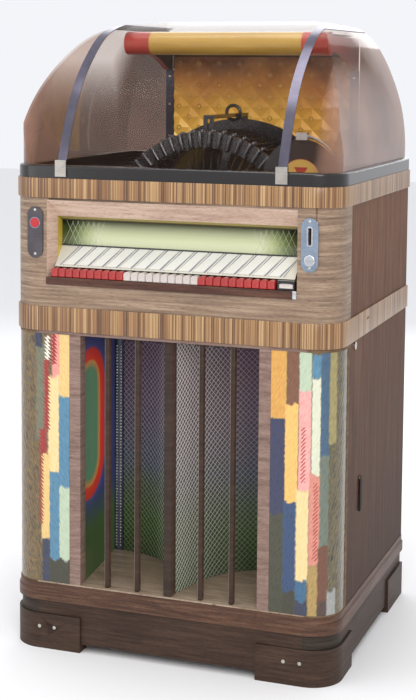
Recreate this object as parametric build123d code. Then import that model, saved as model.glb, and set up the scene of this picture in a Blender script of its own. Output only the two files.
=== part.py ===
from build123d import *
import math
import os

os.makedirs("parts", exist_ok=True)

# Floor-standing jukebox in millimetres. Origin: centre of the footprint on the floor.
# +X is the customer's right, +Y the back, +Z up.

# Overall
WIDTH = 760.0
DEPTH = 650.0
HEIGHT = 1415.0
KNUCKLE_R = 4.0
HALF = WIDTH / 2
BODY_HALF = HALF - KNUCKLE_R
FRONT = -DEPTH / 2
BODY_FRONT = FRONT + 5.0
BACK = DEPTH / 2 - KNUCKLE_R
CORNER_R = 70.0

# Levels
FOOT_GAP = 18.0
FOOT_TOP = 80.0
PLINTH_TOP = 111.0
FLOOR = 150.0
BAND1_LOW = 723.0
BAND1_TOP = 777.0
BAND2_LOW = 1017.0
BODY_TOP = 1060.0
RIM_TOP = 1088.0
SEAT = 0.3
BOARD = 18.0
DOOR_BACK = -220.0
REAR_HALF = 334.0
INNER_HALF = BODY_HALF - BOARD - SEAT
FRONT_MOVE = FRONT + 325.0
BACK_MOVE = BACK - 321.0

# Running fits
RUN_FIT = 0.05
SHAFT_R = 10.0
PIVOT_R = 5.0
STEM_R = 2.5

# Selector
KEY_COUNT = 10
KEY_PITCH = 17.15
KEY_GAP = 0.6
KEY_LEFT = -275.5
KEY_Z = 843.3
KEY_H = 19.4
RAIL_Z = 826.0
RAIL_TOP = 843.0
WINDOW_HALF = 276.0
WINDOW_TOP = 974.0
BAR_COUNT = 15
BAR_PITCH = 33.8
PLATE_X = 313.0
PLATE_Z = 940.0
PLATE_W = 37.0
PLATE_H = 113.0
SLOT_W = 6.0
SLOT_H = 34.0
SLOT_Z = 941.0
WINDOW_MID = 900.0
KNOB_Z = 908.0
KNOB_R = 12.0

# Door
POST_IN = 206.0
POST_OUT = 232.0
BAR_X = (74.0, 145.0)
SHEET = 1.5
SCREEN_PLAN = [(10.0, -292.0), (30.0, -200.0), (62.0, -135.0), (110.0, -88.0), (160.0, -64.0), (214.0, -54.0)]
CEIL_FRONT = (-292.0, 716.0)
CEIL_BACK = (-45.0, 662.0)

# Mechanism
WHEEL_Z = 919.0
WHEEL_FRONT_R = 240.0
WHEEL_BACK_R = 262.0
RECORD_COUNT = 60
RECORD_R = 87.5
RECORD_T = 1.6
RECORD_HOLE_R = 19.0
RECORD_OFF = 150.0
RECORD_Y = 30.0
TABLE_X = 238.0
TABLE_Z = 1062.0
ARM_X = 331.0
ARM_Z = 1031.0
ARM_ARC_R = 96.0
GRIP_R = 268.0

# Lid
GLASS = 4.0
STRAP_X = 251.0
STRAP_W = 21.0
STRAP_T = 1.6
LAMP_R = 27.0
LAMP_Y = 50.0
LAMP_Z = 1359.0
LAMP_HALF = 250.0
PANEL_HALF = 231.0
FRONT_CURVE = [(FRONT + 8, RIM_TOP), (FRONT + 42, 1172.0), (FRONT + 93, 1260.0), (FRONT + 167, 1332.0),
               (FRONT + 225, 1370.0), (FRONT + 325, 1398.0), (FRONT + 475, 1412.0), (BACK, HEIGHT)]
ARCH_CURVE = [(HALF - 14, RIM_TOP), (HALF - 15, 1150.0), (HALF - 27, 1222.0), (HALF - 47, 1282.0),
              (HALF - 71, 1333.0), (HALF - 114, 1386.0), (HALF - 167, 1408.0), (150.0, HEIGHT - 1.5)]


def block(x0, x1, y0, y1, z0, z1):
    centre = Pos((x0 + x1) / 2, (y0 + y1) / 2, (z0 + z1) / 2)
    return centre * Box(x1 - x0, y1 - y0, z1 - z0)


def rod_x(y, z, x0, x1, r):
    return Pos((x0 + x1) / 2, y, z) * Rot(0, 90, 0) * Cylinder(r, x1 - x0)


def rod_y(x, z, y0, y1, r):
    return Pos(x, (y0 + y1) / 2, z) * Rot(90, 0, 0) * Cylinder(r, y1 - y0)


def rod_z(x, y, z0, z1, r):
    return Pos(x, y, (z0 + z1) / 2) * Cylinder(r, z1 - z0)


def slab(half, front, back, r, z0, z1):
    """Plan shape with rounded front corners, between two levels."""
    face = Pos(0, (front + back) / 2) * Rectangle(2 * half, back - front)
    corners = face.vertices().sort_by(Axis.Y)[:2]
    face = fillet(corners, r)
    return extrude(Plane.XY.offset(z0) * face, z1 - z0)


def prism_x(points, x0, x1):
    face = make_face(Polyline(*points, close=True))
    return extrude(Plane.YZ.offset(x0) * face, x1 - x0)


def prism_y(points, y0, y1):
    face = make_face(Polyline(*points, close=True))
    return extrude(Plane.XZ.offset(-y1) * face, y1 - y0)


def prism_z(points, z0, z1):
    face = make_face(Polyline(*points, close=True))
    return extrude(Plane.XY.offset(z0) * face, z1 - z0)


def both(shape):
    """The shape and its mirror image across the middle plane."""
    return [shape, mirror(shape, Plane.YZ)]


def solids_of(items):
    found = []
    for item in items:
        found.extend(item.solids())
    return found


def save(name, *items):
    export_step(Compound(children=solids_of(items)), f"parts/{name}.step")


# ---- Cabinet ----------------------------------------------------------------

def base_plinth():
    neck = slab(BODY_HALF - 2, BODY_FRONT + 1, BACK - 2, CORNER_R - 4, FOOT_GAP, PLINTH_TOP)
    neck -= slab(BODY_HALF - 34, BODY_FRONT + 33, BACK - 34, CORNER_R - 36, FOOT_GAP, PLINTH_TOP)
    feet = slab(HALF, FRONT, BACK, CORNER_R, 0, FOOT_TOP)
    feet -= block(-205, 205, FRONT, BACK, 0, FOOT_TOP)
    feet -= block(-HALF, HALF, FRONT + 150, BACK - 150, 0, FOOT_TOP)
    feet -= slab(BODY_HALF - 34, BODY_FRONT + 33, BACK - 34, CORNER_R - 36, 0, FOOT_TOP)
    body = neck + feet
    screws = []
    for x in (268, 304):
        screws += both(rod_y(x, 50, FRONT, FRONT + 3, 4))
    return [carve(body, screws)] + screws


def moulding():
    low = slab(HALF, FRONT, BACK, CORNER_R, PLINTH_TOP, 138)
    low = fillet(low.edges().filter_by(Plane.XY).sort_by(Axis.Z)[-6:], 5)
    top = slab(HALF - 3, FRONT + 3, BACK, CORNER_R - 3, 136, FLOOR)
    return low + top


def side_board():
    board = block(BODY_HALF - BOARD, BODY_HALF, DOOR_BACK + SEAT, BACK, FLOOR, BODY_TOP)
    return board


def back_frame():
    """Two stiles and two rails round the rear door."""
    low = block(-BODY_HALF + BOARD, BODY_HALF - BOARD, BACK - BOARD, BACK, FLOOR, 185)
    top = block(-BODY_HALF + BOARD, BODY_HALF - BOARD, BACK - BOARD, BACK, 1010, BODY_TOP)
    stiles = both(block(REAR_HALF, BODY_HALF - BOARD, BACK - BOARD, BACK, 185, 1010))
    return [low, top] + stiles


def cleats():
    shelf = block(340, BODY_HALF - BOARD, -130, 196, 680, 702)
    lip = block(340, BODY_HALF - BOARD, -100, BACK - BOARD, 1036, 1053.7)
    return both(shelf) + both(lip)


def baffle():
    board = block(-INNER_HALF, INNER_HALF, -36, -18, FLOOR, 600)
    return board - rod_y(0, 400, -36, -18, 138)


def hinge_set(side):
    """Side 0 gives the cabinet's knuckles, side 1 the door's."""
    items = []
    for z in (190, 420, 660):
        if side:
            items.append(rod_z(-BODY_HALF, DOOR_BACK, z - 14.8, z + 14.8, KNUCKLE_R))
        else:
            items.append(rod_z(-BODY_HALF, DOOR_BACK, z + 15, z + 35, KNUCKLE_R))
            items.append(rod_z(-BODY_HALF, DOOR_BACK, z - 35, z - 15, KNUCKLE_R))
    return items


def rear_hinge_set(side):
    items = []
    for z in (300, 600, 900):
        if side:
            items.append(rod_z(-REAR_HALF, BACK, z - 19.8, z + 19.8, KNUCKLE_R))
        else:
            items.append(rod_z(-REAR_HALF, BACK, z + 20, z + 40, KNUCKLE_R))
            items.append(rod_z(-REAR_HALF, BACK, z - 40, z - 20, KNUCKLE_R))
    return items


def lid_hinge_set(side):
    items = []
    for x in (-260, 0, 260):
        if side:
            items.append(rod_x(BACK, BODY_TOP, x - 24.8, x + 24.8, KNUCKLE_R))
        else:
            items.append(rod_x(BACK, BODY_TOP, x + 25, x + 50, KNUCKLE_R))
            items.append(rod_x(BACK, BODY_TOP, x - 50, x - 25, KNUCKLE_R))
    return items


def carve(body, tools):
    for tool in tools:
        body -= tool
    return body


def clearance(items, axis):
    """Slightly larger copies of knuckles, for the notch they turn in."""
    grown = []
    for item in items:
        box = item.bounding_box()
        mid = box.center()
        if axis == "Z":
            grown.append(rod_z(mid.X, mid.Y, box.min.Z - 0.2, box.max.Z + 0.2, KNUCKLE_R + 0.4))
        else:
            grown.append(rod_x(mid.Y, mid.Z, box.min.X - 0.2, box.max.X + 0.2, KNUCKLE_R + 0.4))
    return grown


def cabinet_shell():
    left, right = both(side_board())[::-1]
    left = carve(left, hinge_set(0) + clearance(hinge_set(1), "Z"))
    right -= rod_x(-120, 372, BODY_HALF - BOARD, BODY_HALF, PIVOT_R + RUN_FIT)
    lock = rod_x(-182, 712, BODY_HALF - 12, BODY_HALF + 3, 9)
    right -= lock
    low, top, right_stile, left_stile = back_frame()
    left_stile = carve(left_stile, rear_hinge_set(0) + clearance(rear_hinge_set(1), "Z"))
    top = carve(top, lid_hinge_set(0) + clearance(lid_hinge_set(1), "X"))
    frame = [low, top, left_stile, right_stile]
    knuckles = hinge_set(0) + rear_hinge_set(0) + lid_hinge_set(0)
    return [moulding(), left, right] + frame + [baffle(), lock] + cleats() + knuckles


def band(z0, z1):
    ring = slab(HALF, FRONT, BACK, CORNER_R, z0, z1)
    ring -= slab(BODY_HALF, BODY_FRONT, BACK + 1, CORNER_R - 4.5, z0, z1)
    return ring


def band_mouldings():
    low = band(BAND1_LOW, BAND1_TOP)
    screws = []
    for y in (-88, -76):
        screws.append(rod_x(y, 757, HALF - 3, HALF, 3))
    low = carve(low, screws)
    return [low, band(BAND2_LOW, BODY_TOP)] + screws


def window_cut():
    outer = Pos(0, 919) * Rectangle(572, 186)
    inner = Pos(0, (RAIL_Z + WINDOW_TOP) / 2) * Rectangle(2 * WINDOW_HALF, WINDOW_TOP - RAIL_Z)
    front = Plane.XZ.offset(-BODY_FRONT) * outer
    rear = Plane.XZ.offset(286 - FRONT_MOVE) * inner
    return loft([front, rear])


def coin_entry_block():
    """The block behind the right plate that the coin slot runs through."""
    return block(PLATE_X - 13, PLATE_X + 13, BODY_FRONT, FRONT_MOVE - 286, SLOT_Z - 13, SLOT_Z + SLOT_H + 13)


def selector_fascia():
    shell = slab(BODY_HALF, BODY_FRONT, DOOR_BACK, CORNER_R - 4.5, BAND1_LOW, BODY_TOP)
    shell -= slab(BODY_HALF - 20, BODY_FRONT + 20, DOOR_BACK + 1, 46, BAND1_LOW, BODY_TOP)
    shell += block(-300, 300, BODY_FRONT + 20, FRONT_MOVE - 286, 815, 1017)
    shell -= window_cut()
    shell -= rod_y(PLATE_X, KNOB_Z, BODY_FRONT, FRONT_MOVE - 290, KNOB_R + RUN_FIT)
    shell -= rod_y(-PLATE_X, 961, BODY_FRONT, FRONT_MOVE - 290, 8)
    shell -= coin_entry_block()
    middle = block(-WINDOW_HALF, WINDOW_HALF, FRONT_MOVE - 400, 0, 0, HEIGHT)
    low = shell & middle & block(-HALF, HALF, FRONT_MOVE - 400, 0, 0, WINDOW_MID)
    top = shell & middle & block(-HALF, HALF, FRONT_MOVE - 400, 0, WINDOW_MID, HEIGHT)
    right = shell & block(WINDOW_HALF, HALF, FRONT_MOVE - 400, 0, 0, HEIGHT)
    left = shell & block(-HALF, -WINDOW_HALF, FRONT_MOVE - 400, 0, 0, HEIGHT)
    entry = coin_entry_block()
    entry &= slab(BODY_HALF, BODY_FRONT, DOOR_BACK, CORNER_R - 4.5, BAND1_LOW, BODY_TOP)
    entry -= block(PLATE_X - SLOT_W / 2, PLATE_X + SLOT_W / 2, BODY_FRONT, FRONT_MOVE - 286, SLOT_Z, SLOT_Z + SLOT_H)
    return [low, top, left, right, entry]


def mechanism_deck():
    deck = slab(355.7, -299.7, BACK - BOARD - SEAT, 46.3, 1054, BODY_TOP)
    deck -= block(-292, 292, -165, 268, 1054, BODY_TOP)
    deck -= block(291, 352, -165, -100, 1054, BODY_TOP)
    return [deck]


# ---- Selector ---------------------------------------------------------------

def title_bars():
    """White strips that lean across the sloped rack."""
    slope = Plane(origin=(0, FRONT_MOVE - 299, 866), x_dir=(1, 0, 0), z_dir=(0, -41, 38))
    bars = []
    for i in range(BAR_COUNT):
        x = -256.0 + i * BAR_PITCH
        outline = [(x, 2), (x + 24, 2), (x + 56, 53), (x + 32, 53)]
        bars.append(extrude(slope * make_face(Polyline(*outline, close=True)), 2.0))
    return bars


def title_rack():
    rack = prism_x([(-301, 864), (-299, 866), (-261, 907), (-259, 907), (-259, 904)], -WINDOW_HALF, WINDOW_HALF)
    rack = Pos(0, FRONT_MOVE, 0) * rack
    tray = block(-WINDOW_HALF, WINDOW_HALF, FRONT_MOVE - 297, FRONT_MOVE - 240, 838, RAIL_TOP)
    guide = block(-WINDOW_HALF, WINDOW_HALF, FRONT_MOVE - 284, FRONT_MOVE - 281, RAIL_TOP, 880)
    for x in key_centres():
        guide -= rod_y(x, KEY_Z + 9, FRONT_MOVE - 284, FRONT_MOVE - 281, STEM_R + RUN_FIT)
    panel = block(-WINDOW_HALF, WINDOW_HALF, FRONT_MOVE - 262, FRONT_MOVE - 259, 907, 963)
    top = prism_x([(-285.7, 974), (-262, 963), (-259, 963), (-259, 966), (-285.7, 977)], -WINDOW_HALF, WINDOW_HALF)
    top = Pos(0, FRONT_MOVE, 0) * top
    cheek = block(WINDOW_HALF, 279, FRONT_MOVE - 285.7, FRONT_MOVE - 240, 838, 978)
    contacts = block(-WINDOW_HALF, WINDOW_HALF, FRONT_MOVE - 256, FRONT_MOVE - 244, RAIL_TOP, 862)
    lamp = rod_x(FRONT_MOVE - 248, 935, -240, 240, 10)
    holders = both(block(240, WINDOW_HALF, FRONT_MOVE - 259, FRONT_MOVE - 240, 922, 948))
    return [rack, tray, guide, panel, top, contacts, lamp] + both(cheek) + holders + title_bars()


def key_centres():
    centres = [KEY_LEFT + (i + 0.5) * KEY_PITCH for i in range(3 * KEY_COUNT)]
    return centres + [262.0]


def key_rail():
    rail = block(-286, 286, FRONT, BODY_FRONT, RAIL_Z, RAIL_TOP)
    rail = fillet(rail.edges().filter_by(Axis.X).sort_by(Axis.Y)[:2], 2)
    cap = rail & block(278, 286, FRONT, BODY_FRONT, RAIL_Z, RAIL_TOP)
    rail = (rail - cap) + block(-279.3, 278, BODY_FRONT, FRONT_MOVE - 301, RAIL_Z, RAIL_TOP)
    hood = block(243, 279.5, FRONT_MOVE - 318, FRONT_MOVE - 301, RAIL_TOP, 863)
    hood -= block(246.7, 277.3, FRONT_MOVE - 318, FRONT_MOVE - 301, 846.7, 857.3)
    return [rail, cap, hood]


def selector_key(index):
    x = key_centres()[index]
    if index == 3 * KEY_COUNT:
        cap = block(x - 15, x + 15, FRONT_MOVE - 321, FRONT_MOVE - 300, 847, 857)
        cap = fillet(cap.edges().filter_by(Axis.Y), 2)
    else:
        half = (KEY_PITCH - KEY_GAP) / 2
        cap = block(x - half, x + half, FRONT_MOVE - 322, FRONT_MOVE - 299, KEY_Z, KEY_Z + KEY_H)
        cap = fillet(cap.edges().filter_by(Axis.Y).sort_by(Axis.Z)[-2:], 3.5)
    return [cap + rod_y(x, KEY_Z + 9, FRONT_MOVE - 300, FRONT_MOVE - 268, STEM_R)]


def plate(x):
    body = block(x - PLATE_W / 2, x + PLATE_W / 2, FRONT + 1.5, BODY_FRONT,
                 PLATE_Z - PLATE_H / 2, PLATE_Z + PLATE_H / 2)
    return fillet(body.edges().filter_by(Axis.Y), PLATE_W / 2 - 0.1)


def escutcheons():
    left = plate(-PLATE_X)
    left -= rod_y(-PLATE_X, 961, FRONT, FRONT_MOVE - 290, 8)
    lens = rod_y(-PLATE_X, 961, FRONT + 0.2, FRONT + 1.5, 11)
    lens += rod_y(-PLATE_X, 961, FRONT + 1.5, FRONT_MOVE - 302, 7.9)
    right = plate(PLATE_X)
    right -= block(PLATE_X - SLOT_W / 2, PLATE_X + SLOT_W / 2, FRONT, BODY_FRONT, SLOT_Z, SLOT_Z + SLOT_H)
    right -= rod_y(PLATE_X, KNOB_Z, FRONT, BODY_FRONT, KNOB_R + RUN_FIT)
    return [left, lens, right]


def coin_return_button():
    knob = rod_y(PLATE_X, KNOB_Z, FRONT, FRONT_MOVE - 296, KNOB_R)
    return [fillet(knob.edges().sort_by(Axis.Y)[0], 2)]


def coin_unit():
    case = block(294, 336, FRONT_MOVE - 286, FRONT_MOVE - 190, 865, 1000)
    case -= block(PLATE_X - SLOT_W / 2, PLATE_X + SLOT_W / 2, FRONT_MOVE - 286, FRONT_MOVE - 190, SLOT_Z, HEIGHT)
    left = case & block(0, PLATE_X - SLOT_W / 2, FRONT_MOVE - 286, FRONT_MOVE - 190, SLOT_Z, HEIGHT)
    right = case & block(PLATE_X + SLOT_W / 2, HALF, FRONT_MOVE - 286, FRONT_MOVE - 190, SLOT_Z, HEIGHT)
    low = case & block(0, HALF, FRONT_MOVE - 286, FRONT_MOVE - 190, 0, SLOT_Z)
    lid = block(PLATE_X - SLOT_W / 2, PLATE_X + SLOT_W / 2, FRONT_MOVE - 286, FRONT_MOVE - 190, SLOT_Z + SLOT_H, 1000)
    chute = block(318, 336, FRONT_MOVE - 212, FRONT_MOVE - 190, 262, 865)
    chute -= block(321, 333, FRONT_MOVE - 209, FRONT_MOVE - 193, 262, 865)
    box = block(292, 352, FRONT_MOVE - 205, FRONT_MOVE - 60, FLOOR + SEAT, 262)
    box -= block(296, 348, FRONT_MOVE - 201, FRONT_MOVE - 64, FLOOR + 4, 262)
    bracket = block(336, INNER_HALF + SEAT, FRONT_MOVE - 215, FRONT_MOVE - 195, 920, 940)
    return [low, left, right, lid, bracket, chute, box]


# ---- Sound ------------------------------------------------------------------

def amplifier():
    chassis = block(-200, 150, 50, 255, FLOOR + SEAT, 212)
    items = [chassis]
    for i in range(5):
        items.append(rod_z(-165 + i * 48, 225, 212, 282, 14))
    items.append(block(-175, -85, 80, 160, 212, 292))
    items.append(block(30, 110, 80, 150, 212, 276))
    return items


def speaker():
    flange = rod_y(0, 400, -18, -12, 155)
    cone = Pos(0, 29, 400) * Rot(90, 0, 0) * Cone(60, 148, 82)
    flange -= rod_y(0, 400, -18, -12, 136)
    hollow = Pos(0, 14, 400) * Rot(90, 0, 0) * Cone(40, 136, 52)
    basket = flange + (cone - hollow)
    magnet = rod_y(0, 400, 70, 112, 62)
    return [basket, magnet]


# ---- Record mechanism -------------------------------------------------------

def mechanism_frame():
    beam = block(-INNER_HALF, INNER_HALF, -125, -110, 702 + SEAT, 727)
    post = block(-22, 22, -125, -110, 727, WHEEL_Z) + rod_y(0, WHEEL_Z, -125, -110, 26)
    arm = prism_y([(100, 727), (190, 727), (TABLE_X + 24, TABLE_Z), (TABLE_X - 24, TABLE_Z)], -125, -115)
    boss = rod_y(TABLE_X, TABLE_Z, -125, -110, 26)
    mast = prism_y([(300, 727), (345, 727), (345, ARM_Z), (325, ARM_Z)], -125, -115)
    mast += rod_y(ARM_X, ARM_Z, -128, -110, 14)
    front = beam + post + arm + boss + mast
    front -= rod_y(0, WHEEL_Z, -125, -110, SHAFT_R + RUN_FIT)
    front -= rod_y(TABLE_X, TABLE_Z, -125, -110, 6 + RUN_FIT)
    front -= rod_y(ARM_X, ARM_Z, -128, -110, PIVOT_R + RUN_FIT)
    rear = block(-INNER_HALF, INNER_HALF, 180, 195, 702 + SEAT, 727)
    rear += block(-30, 30, 180, 195, 727, WHEEL_Z) + rod_y(0, WHEEL_Z, 162, 195, 20)
    rear += rod_y(0, WHEEL_Z, 180, 195, 34)
    rear -= rod_y(0, WHEEL_Z, 162, 195, SHAFT_R + RUN_FIT)
    rails = both(block(344, INNER_HALF, -110, 180, 702 + SEAT, 727))
    motor = rod_y(-110, 790, 195, 265, 38) + block(-150, -70, 195, 199, 727, 830)
    foot = block(-150, -70, 180, 195, 727, 760)
    return [front, rear + foot, motor] + rails


def wheel_part(shape):
    return Pos(0, 0, WHEEL_Z) * shape


def ring(r_in, r_out, y0, y1):
    return rod_y(0, 0, y0, y1, r_out) - rod_y(0, 0, y0, y1, r_in)


def magazine_wheel():
    drum = ring(22, RECORD_OFF - RECORD_R - SEAT, -87, 147) - ring(22, RECORD_OFF - RECORD_R - 6.5, -80, 140)
    hub = ring(SHAFT_R, 22, -106, 159)
    shaft = rod_y(0, 0, -130, 204, SHAFT_R)
    front = ring(204, WHEEL_FRONT_R, -95, -87)
    back = ring(204, WHEEL_BACK_R, 147, 155)
    for k in range(6):
        turn = Rot(0, 60 * k + 15, 0)
        front += turn * block(-9, 9, -95, -87, 60, 206)
        back += turn * block(-9, 9, 147, 155, 60, 206)
    front += ring(22, 64, -95, -87)
    back += ring(22, 64, 147, 155)
    fins = []
    for k in range(RECORD_COUNT):
        turn = Rot(0, 360 / RECORD_COUNT * (k + 0.5), 0)
        fins.append(turn * block(-0.9, 0.9, -87, 147, 205, 238))
    return [wheel_part(s) for s in [drum, hub, shaft, front, back] + fins]


def disc(axis_turn):
    body = Cylinder(RECORD_R, RECORD_T) - Cylinder(RECORD_HOLE_R, RECORD_T)
    return axis_turn * body


def records():
    items = []
    upright = disc(Rot(0, 90, 0))
    for k in range(RECORD_COUNT):
        turn = Rot(0, 360 / RECORD_COUNT * k, 0)
        items.append(wheel_part(turn * Pos(0, RECORD_Y, RECORD_OFF) * upright))
    return items


def turntable():
    platter = rod_y(TABLE_X, TABLE_Z, -137, -129, 62)
    spindle = rod_y(TABLE_X, TABLE_Z, -129, -104, 6)
    hub = rod_y(TABLE_X, TABLE_Z, -143, -137, RECORD_HOLE_R - 0.1)
    pulley = rod_y(TABLE_X, TABLE_Z, -109, -100, 12)
    record = Pos(TABLE_X, -138.2, TABLE_Z) * disc(Rot(90, 0, 0))
    return [platter + spindle + hub + pulley, record]


def tone_arm():
    """A curved rod that follows the record's edge at rest, with a pickup head."""
    points = []
    for a in range(-18, 83, 10):
        angle = math.radians(a)
        points.append((TABLE_X + ARM_ARC_R * math.cos(angle), -150, TABLE_Z + ARM_ARC_R * math.sin(angle)))
    path = Spline(*points)
    section = Plane(origin=path @ 0, z_dir=path % 0) * Circle(3.5)
    rod = sweep(section, path=path)
    end = points[-1]
    head = Pos(end[0] - 8, -148, end[2] - 1) * Box(26, 12, 16)
    stylus = rod_y(end[0] - 14, end[2] - 4, -142, -140.6, 1)
    hub = rod_y(ARM_X, ARM_Z, -156, -128.3, 9)
    pivot = rod_y(ARM_X, ARM_Z, -129, -104, PIVOT_R)
    weight = rod_y(ARM_X, ARM_Z - 26, -156, -144, 9)
    link = block(ARM_X - 5, ARM_X + 5, -154, -146, ARM_Z - 26, ARM_Z)
    return [rod + head + stylus + hub + pivot + weight + link]


def gripper_arm():
    hub = rod_y(0, WHEEL_Z, 164, 178, 34) - rod_y(0, WHEEL_Z, 164, 178, 20 + RUN_FIT)
    stem = block(-12, 12, 166, 176, WHEEL_Z + 28, WHEEL_Z + GRIP_R + 8)
    bow = block(-12, 12, -75, 166, WHEEL_Z + GRIP_R, WHEEL_Z + GRIP_R + 8)
    loop = Pos(0, 100, WHEEL_Z + GRIP_R + 10) * Rot(90, 0, 0) * Torus(17, 4)
    fingers = block(-12, -3, -75, -70, WHEEL_Z + GRIP_R - 22, WHEEL_Z + GRIP_R)
    fingers += block(3, 12, -75, -70, WHEEL_Z + GRIP_R - 22, WHEEL_Z + GRIP_R)
    return [hub + stem + bow + loop + fingers]


# ---- Front door -------------------------------------------------------------

def ceiling_cut():
    """Everything above the sloped ceiling of the bays."""
    (y0, z0), (y1, z1) = CEIL_FRONT, CEIL_BACK
    return prism_x([(-340, z0), (y0, z0), (y1, z1), (40, z1), (40, 800), (-340, 800)], -HALF, HALF)


def door_floor():
    plan = slab(BODY_HALF, BODY_FRONT, DOOR_BACK, CORNER_R - 4.5, FLOOR + SEAT, 153.3)
    return plan + prism_z([(-240, -225), (240, -225), (256, -42), (-256, -42)], FLOOR + SEAT, 153.3)


def door_top():
    top = slab(BODY_HALF, BODY_FRONT, DOOR_BACK, CORNER_R - 4.5, 716, BAND1_LOW - 0.4)
    (y0, z0), (y1, z1) = CEIL_FRONT, CEIL_BACK
    slope = prism_x([(y0, z0), (y0, z0 + 3), (y1, z1 + 3), (y1, z1)], -250, 250)
    top -= block(-POST_IN, POST_IN, y0 + 4, 0, 700, 730)
    front = top & block(-HALF, HALF, -400, y0 + 4, 700, 730)
    sides = [top & block(-HALF, -POST_IN, y0 + 4, 0, 700, 730), top & block(POST_IN, HALF, y0 + 4, 0, 700, 730)]
    return [front, slope - front - sides[0] - sides[1]] + sides


def door_posts():
    post = block(POST_IN, POST_OUT, FRONT_MOVE - 319, FRONT_MOVE - 292, 153.3, 716)
    wall = prism_z([(POST_OUT - 4, -292), (POST_OUT, -292), (246, DOOR_BACK - SEAT), (242, DOOR_BACK - SEAT)], 153.3, 716)
    rear = block(242, BODY_HALF - 2, DOOR_BACK - 6, DOOR_BACK, 153.3, 716)
    stile = block(BODY_HALF - 14, BODY_HALF, DOOR_BACK - 16, DOOR_BACK, 153.3, 716)
    return [post + wall, (rear + stile) - wall]


def door_frame():
    ceiling = door_top()
    posts = both(door_posts()[0])
    right, left = both(door_posts()[1])
    left = carve(left, hinge_set(1) + clearance(hinge_set(0), "Z"))
    boards = [carve(board, clearance(hinge_set(0), "Z") + hinge_set(1)) for board in [door_floor()] + ceiling]
    return boards + posts + [right, left] + hinge_set(1)


def pilaster():
    outer = slab(BODY_HALF - 0.5, BODY_FRONT + 0.5, DOOR_BACK - 16.3, CORNER_R - 5, 153.6, 715.7)
    inner = slab(BODY_HALF - 4.5, BODY_FRONT + 4.5, DOOR_BACK, CORNER_R - 9, 153.6, 715.7)
    return (outer - inner) & block(POST_OUT + SEAT, HALF, -DEPTH, 0, 0, HEIGHT)


def pilasters():
    tube = rod_z(300, -262, 166, 703, 13)
    caps = rod_z(300, -262, 153.6, 166, 15) + rod_z(300, -262, 703, 715.7, 15)
    return both(pilaster()) + both(tube) + both(caps)


def screen_sheet():
    """One bay's perforated sheet, curved in plan from the centre post to the outer side."""
    line = Spline(*SCREEN_PLAN)
    back = [(x, y + SHEET) for x, y in SCREEN_PLAN]
    other = Spline(*back)
    sides = Line(line @ 0, other @ 0) + Line(line @ 1, other @ 1)
    face = make_face([line, other, Line(line @ 0, other @ 0), Line(line @ 1, other @ 1)])
    sheet = extrude(Plane.XY.offset(153.6) * face, 600)
    return sheet - ceiling_cut()


def side_panel():
    """The coloured side wall of a bay and the ribbed trim in its rear corner."""
    wall = prism_z([(POST_IN + 2, -291.7), (POST_IN + 5, -291.7), (240, -57), (237, -57)], 153.6, 760)
    trim = prism_z([(214, -57), (240, -57), (240, -49), (214, -49)], 153.6, 760)
    return (wall - ceiling_cut()) + (trim - ceiling_cut())


def grille_screen():
    return both(screen_sheet()) + both(side_panel())


def grille_bars():
    items = []
    for x in BAR_X:
        bar = block(x - 5, x + 5, FRONT_MOVE - 313, FRONT_MOVE - 299, 153.6, 715.7)
        items += both(bar)
    post = block(-9, 9, FRONT_MOVE - 316, FRONT_MOVE - 294, 153.6, 715.7)
    cap = block(-6, 6, FRONT_MOVE - 318, FRONT_MOVE - 316, 690, 712)
    return items + [post, cap]


def door_latch():
    lever = block(BODY_HALF + 1.6, HALF, -128, -112, 332, 412)
    lever = fillet(lever.edges().filter_by(Axis.X), 6)
    shaft = rod_x(-120, 372, BODY_HALF - BOARD - 6, BODY_HALF + 2, PIVOT_R)
    cam = block(BODY_HALF - BOARD - 6, BODY_HALF - BOARD - 1, -150, -113, 364, 380)
    return [lever + shaft + cam]


def rear_door():
    door = block(SEAT - REAR_HALF, REAR_HALF - SEAT, BACK - BOARD, BACK, 185.4, 1009.6)
    door = carve(door, rear_hinge_set(1) + clearance(rear_hinge_set(0), "Z"))
    for row in range(6):
        for x in (-200, 0, 200):
            z = 240 + row * 22
            door -= block(x - 60, x + 60, BACK - BOARD, BACK, z, z + 8)
    lock = rod_y(300, 600, BACK - 10, BACK + 2, 10)
    return [door - lock, lock] + rear_hinge_set(1)


# ---- Lid --------------------------------------------------------------------

def lid_rim():
    rim = slab(HALF - 3, FRONT + 4, BACK, CORNER_R - 3, BODY_TOP + SEAT, RIM_TOP)
    rim = fillet(rim.edges().filter_by(Plane.XY).sort_by(Axis.Z)[-6:], 5)
    rim -= slab(HALF - 40, FRONT + 33, BACK - 28, 44, BODY_TOP, RIM_TOP)
    front = rim & block(-HALF, HALF, FRONT, FRONT + 77, 0, HEIGHT)
    rear = rim & block(-HALF, HALF, BACK - 28, BACK, 0, HEIGHT)
    side = rim & block(0, HALF, FRONT + 77, BACK - 28, 0, HEIGHT)
    rear = carve(rear, lid_hinge_set(1) + clearance(lid_hinge_set(0), "X"))
    return [front, rear] + both(side) + lid_hinge_set(1)


def shifted(points, t, inward):
    """Points moved sideways by t along the curve's own normal."""
    moved = []
    for i, (a, b) in enumerate(points):
        p = points[max(i - 1, 0)]
        q = points[min(i + 1, len(points) - 1)]
        da, db = q[0] - p[0], q[1] - p[1]
        size = math.hypot(da, db)
        moved.append((a + inward * t * db / size, b - inward * t * da / size))
    return moved


def dome_front(t):
    low = RIM_TOP - 60
    curve = shifted(FRONT_CURVE, t, 1)
    spline = Spline(*curve)
    end = curve[-1]
    start = curve[0]
    tail = Polyline(end, (400, end[1]), (400, low), (start[0], low), start)
    return extrude(Plane.YZ.offset(-400) * make_face([spline, tail]), 800)


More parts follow.
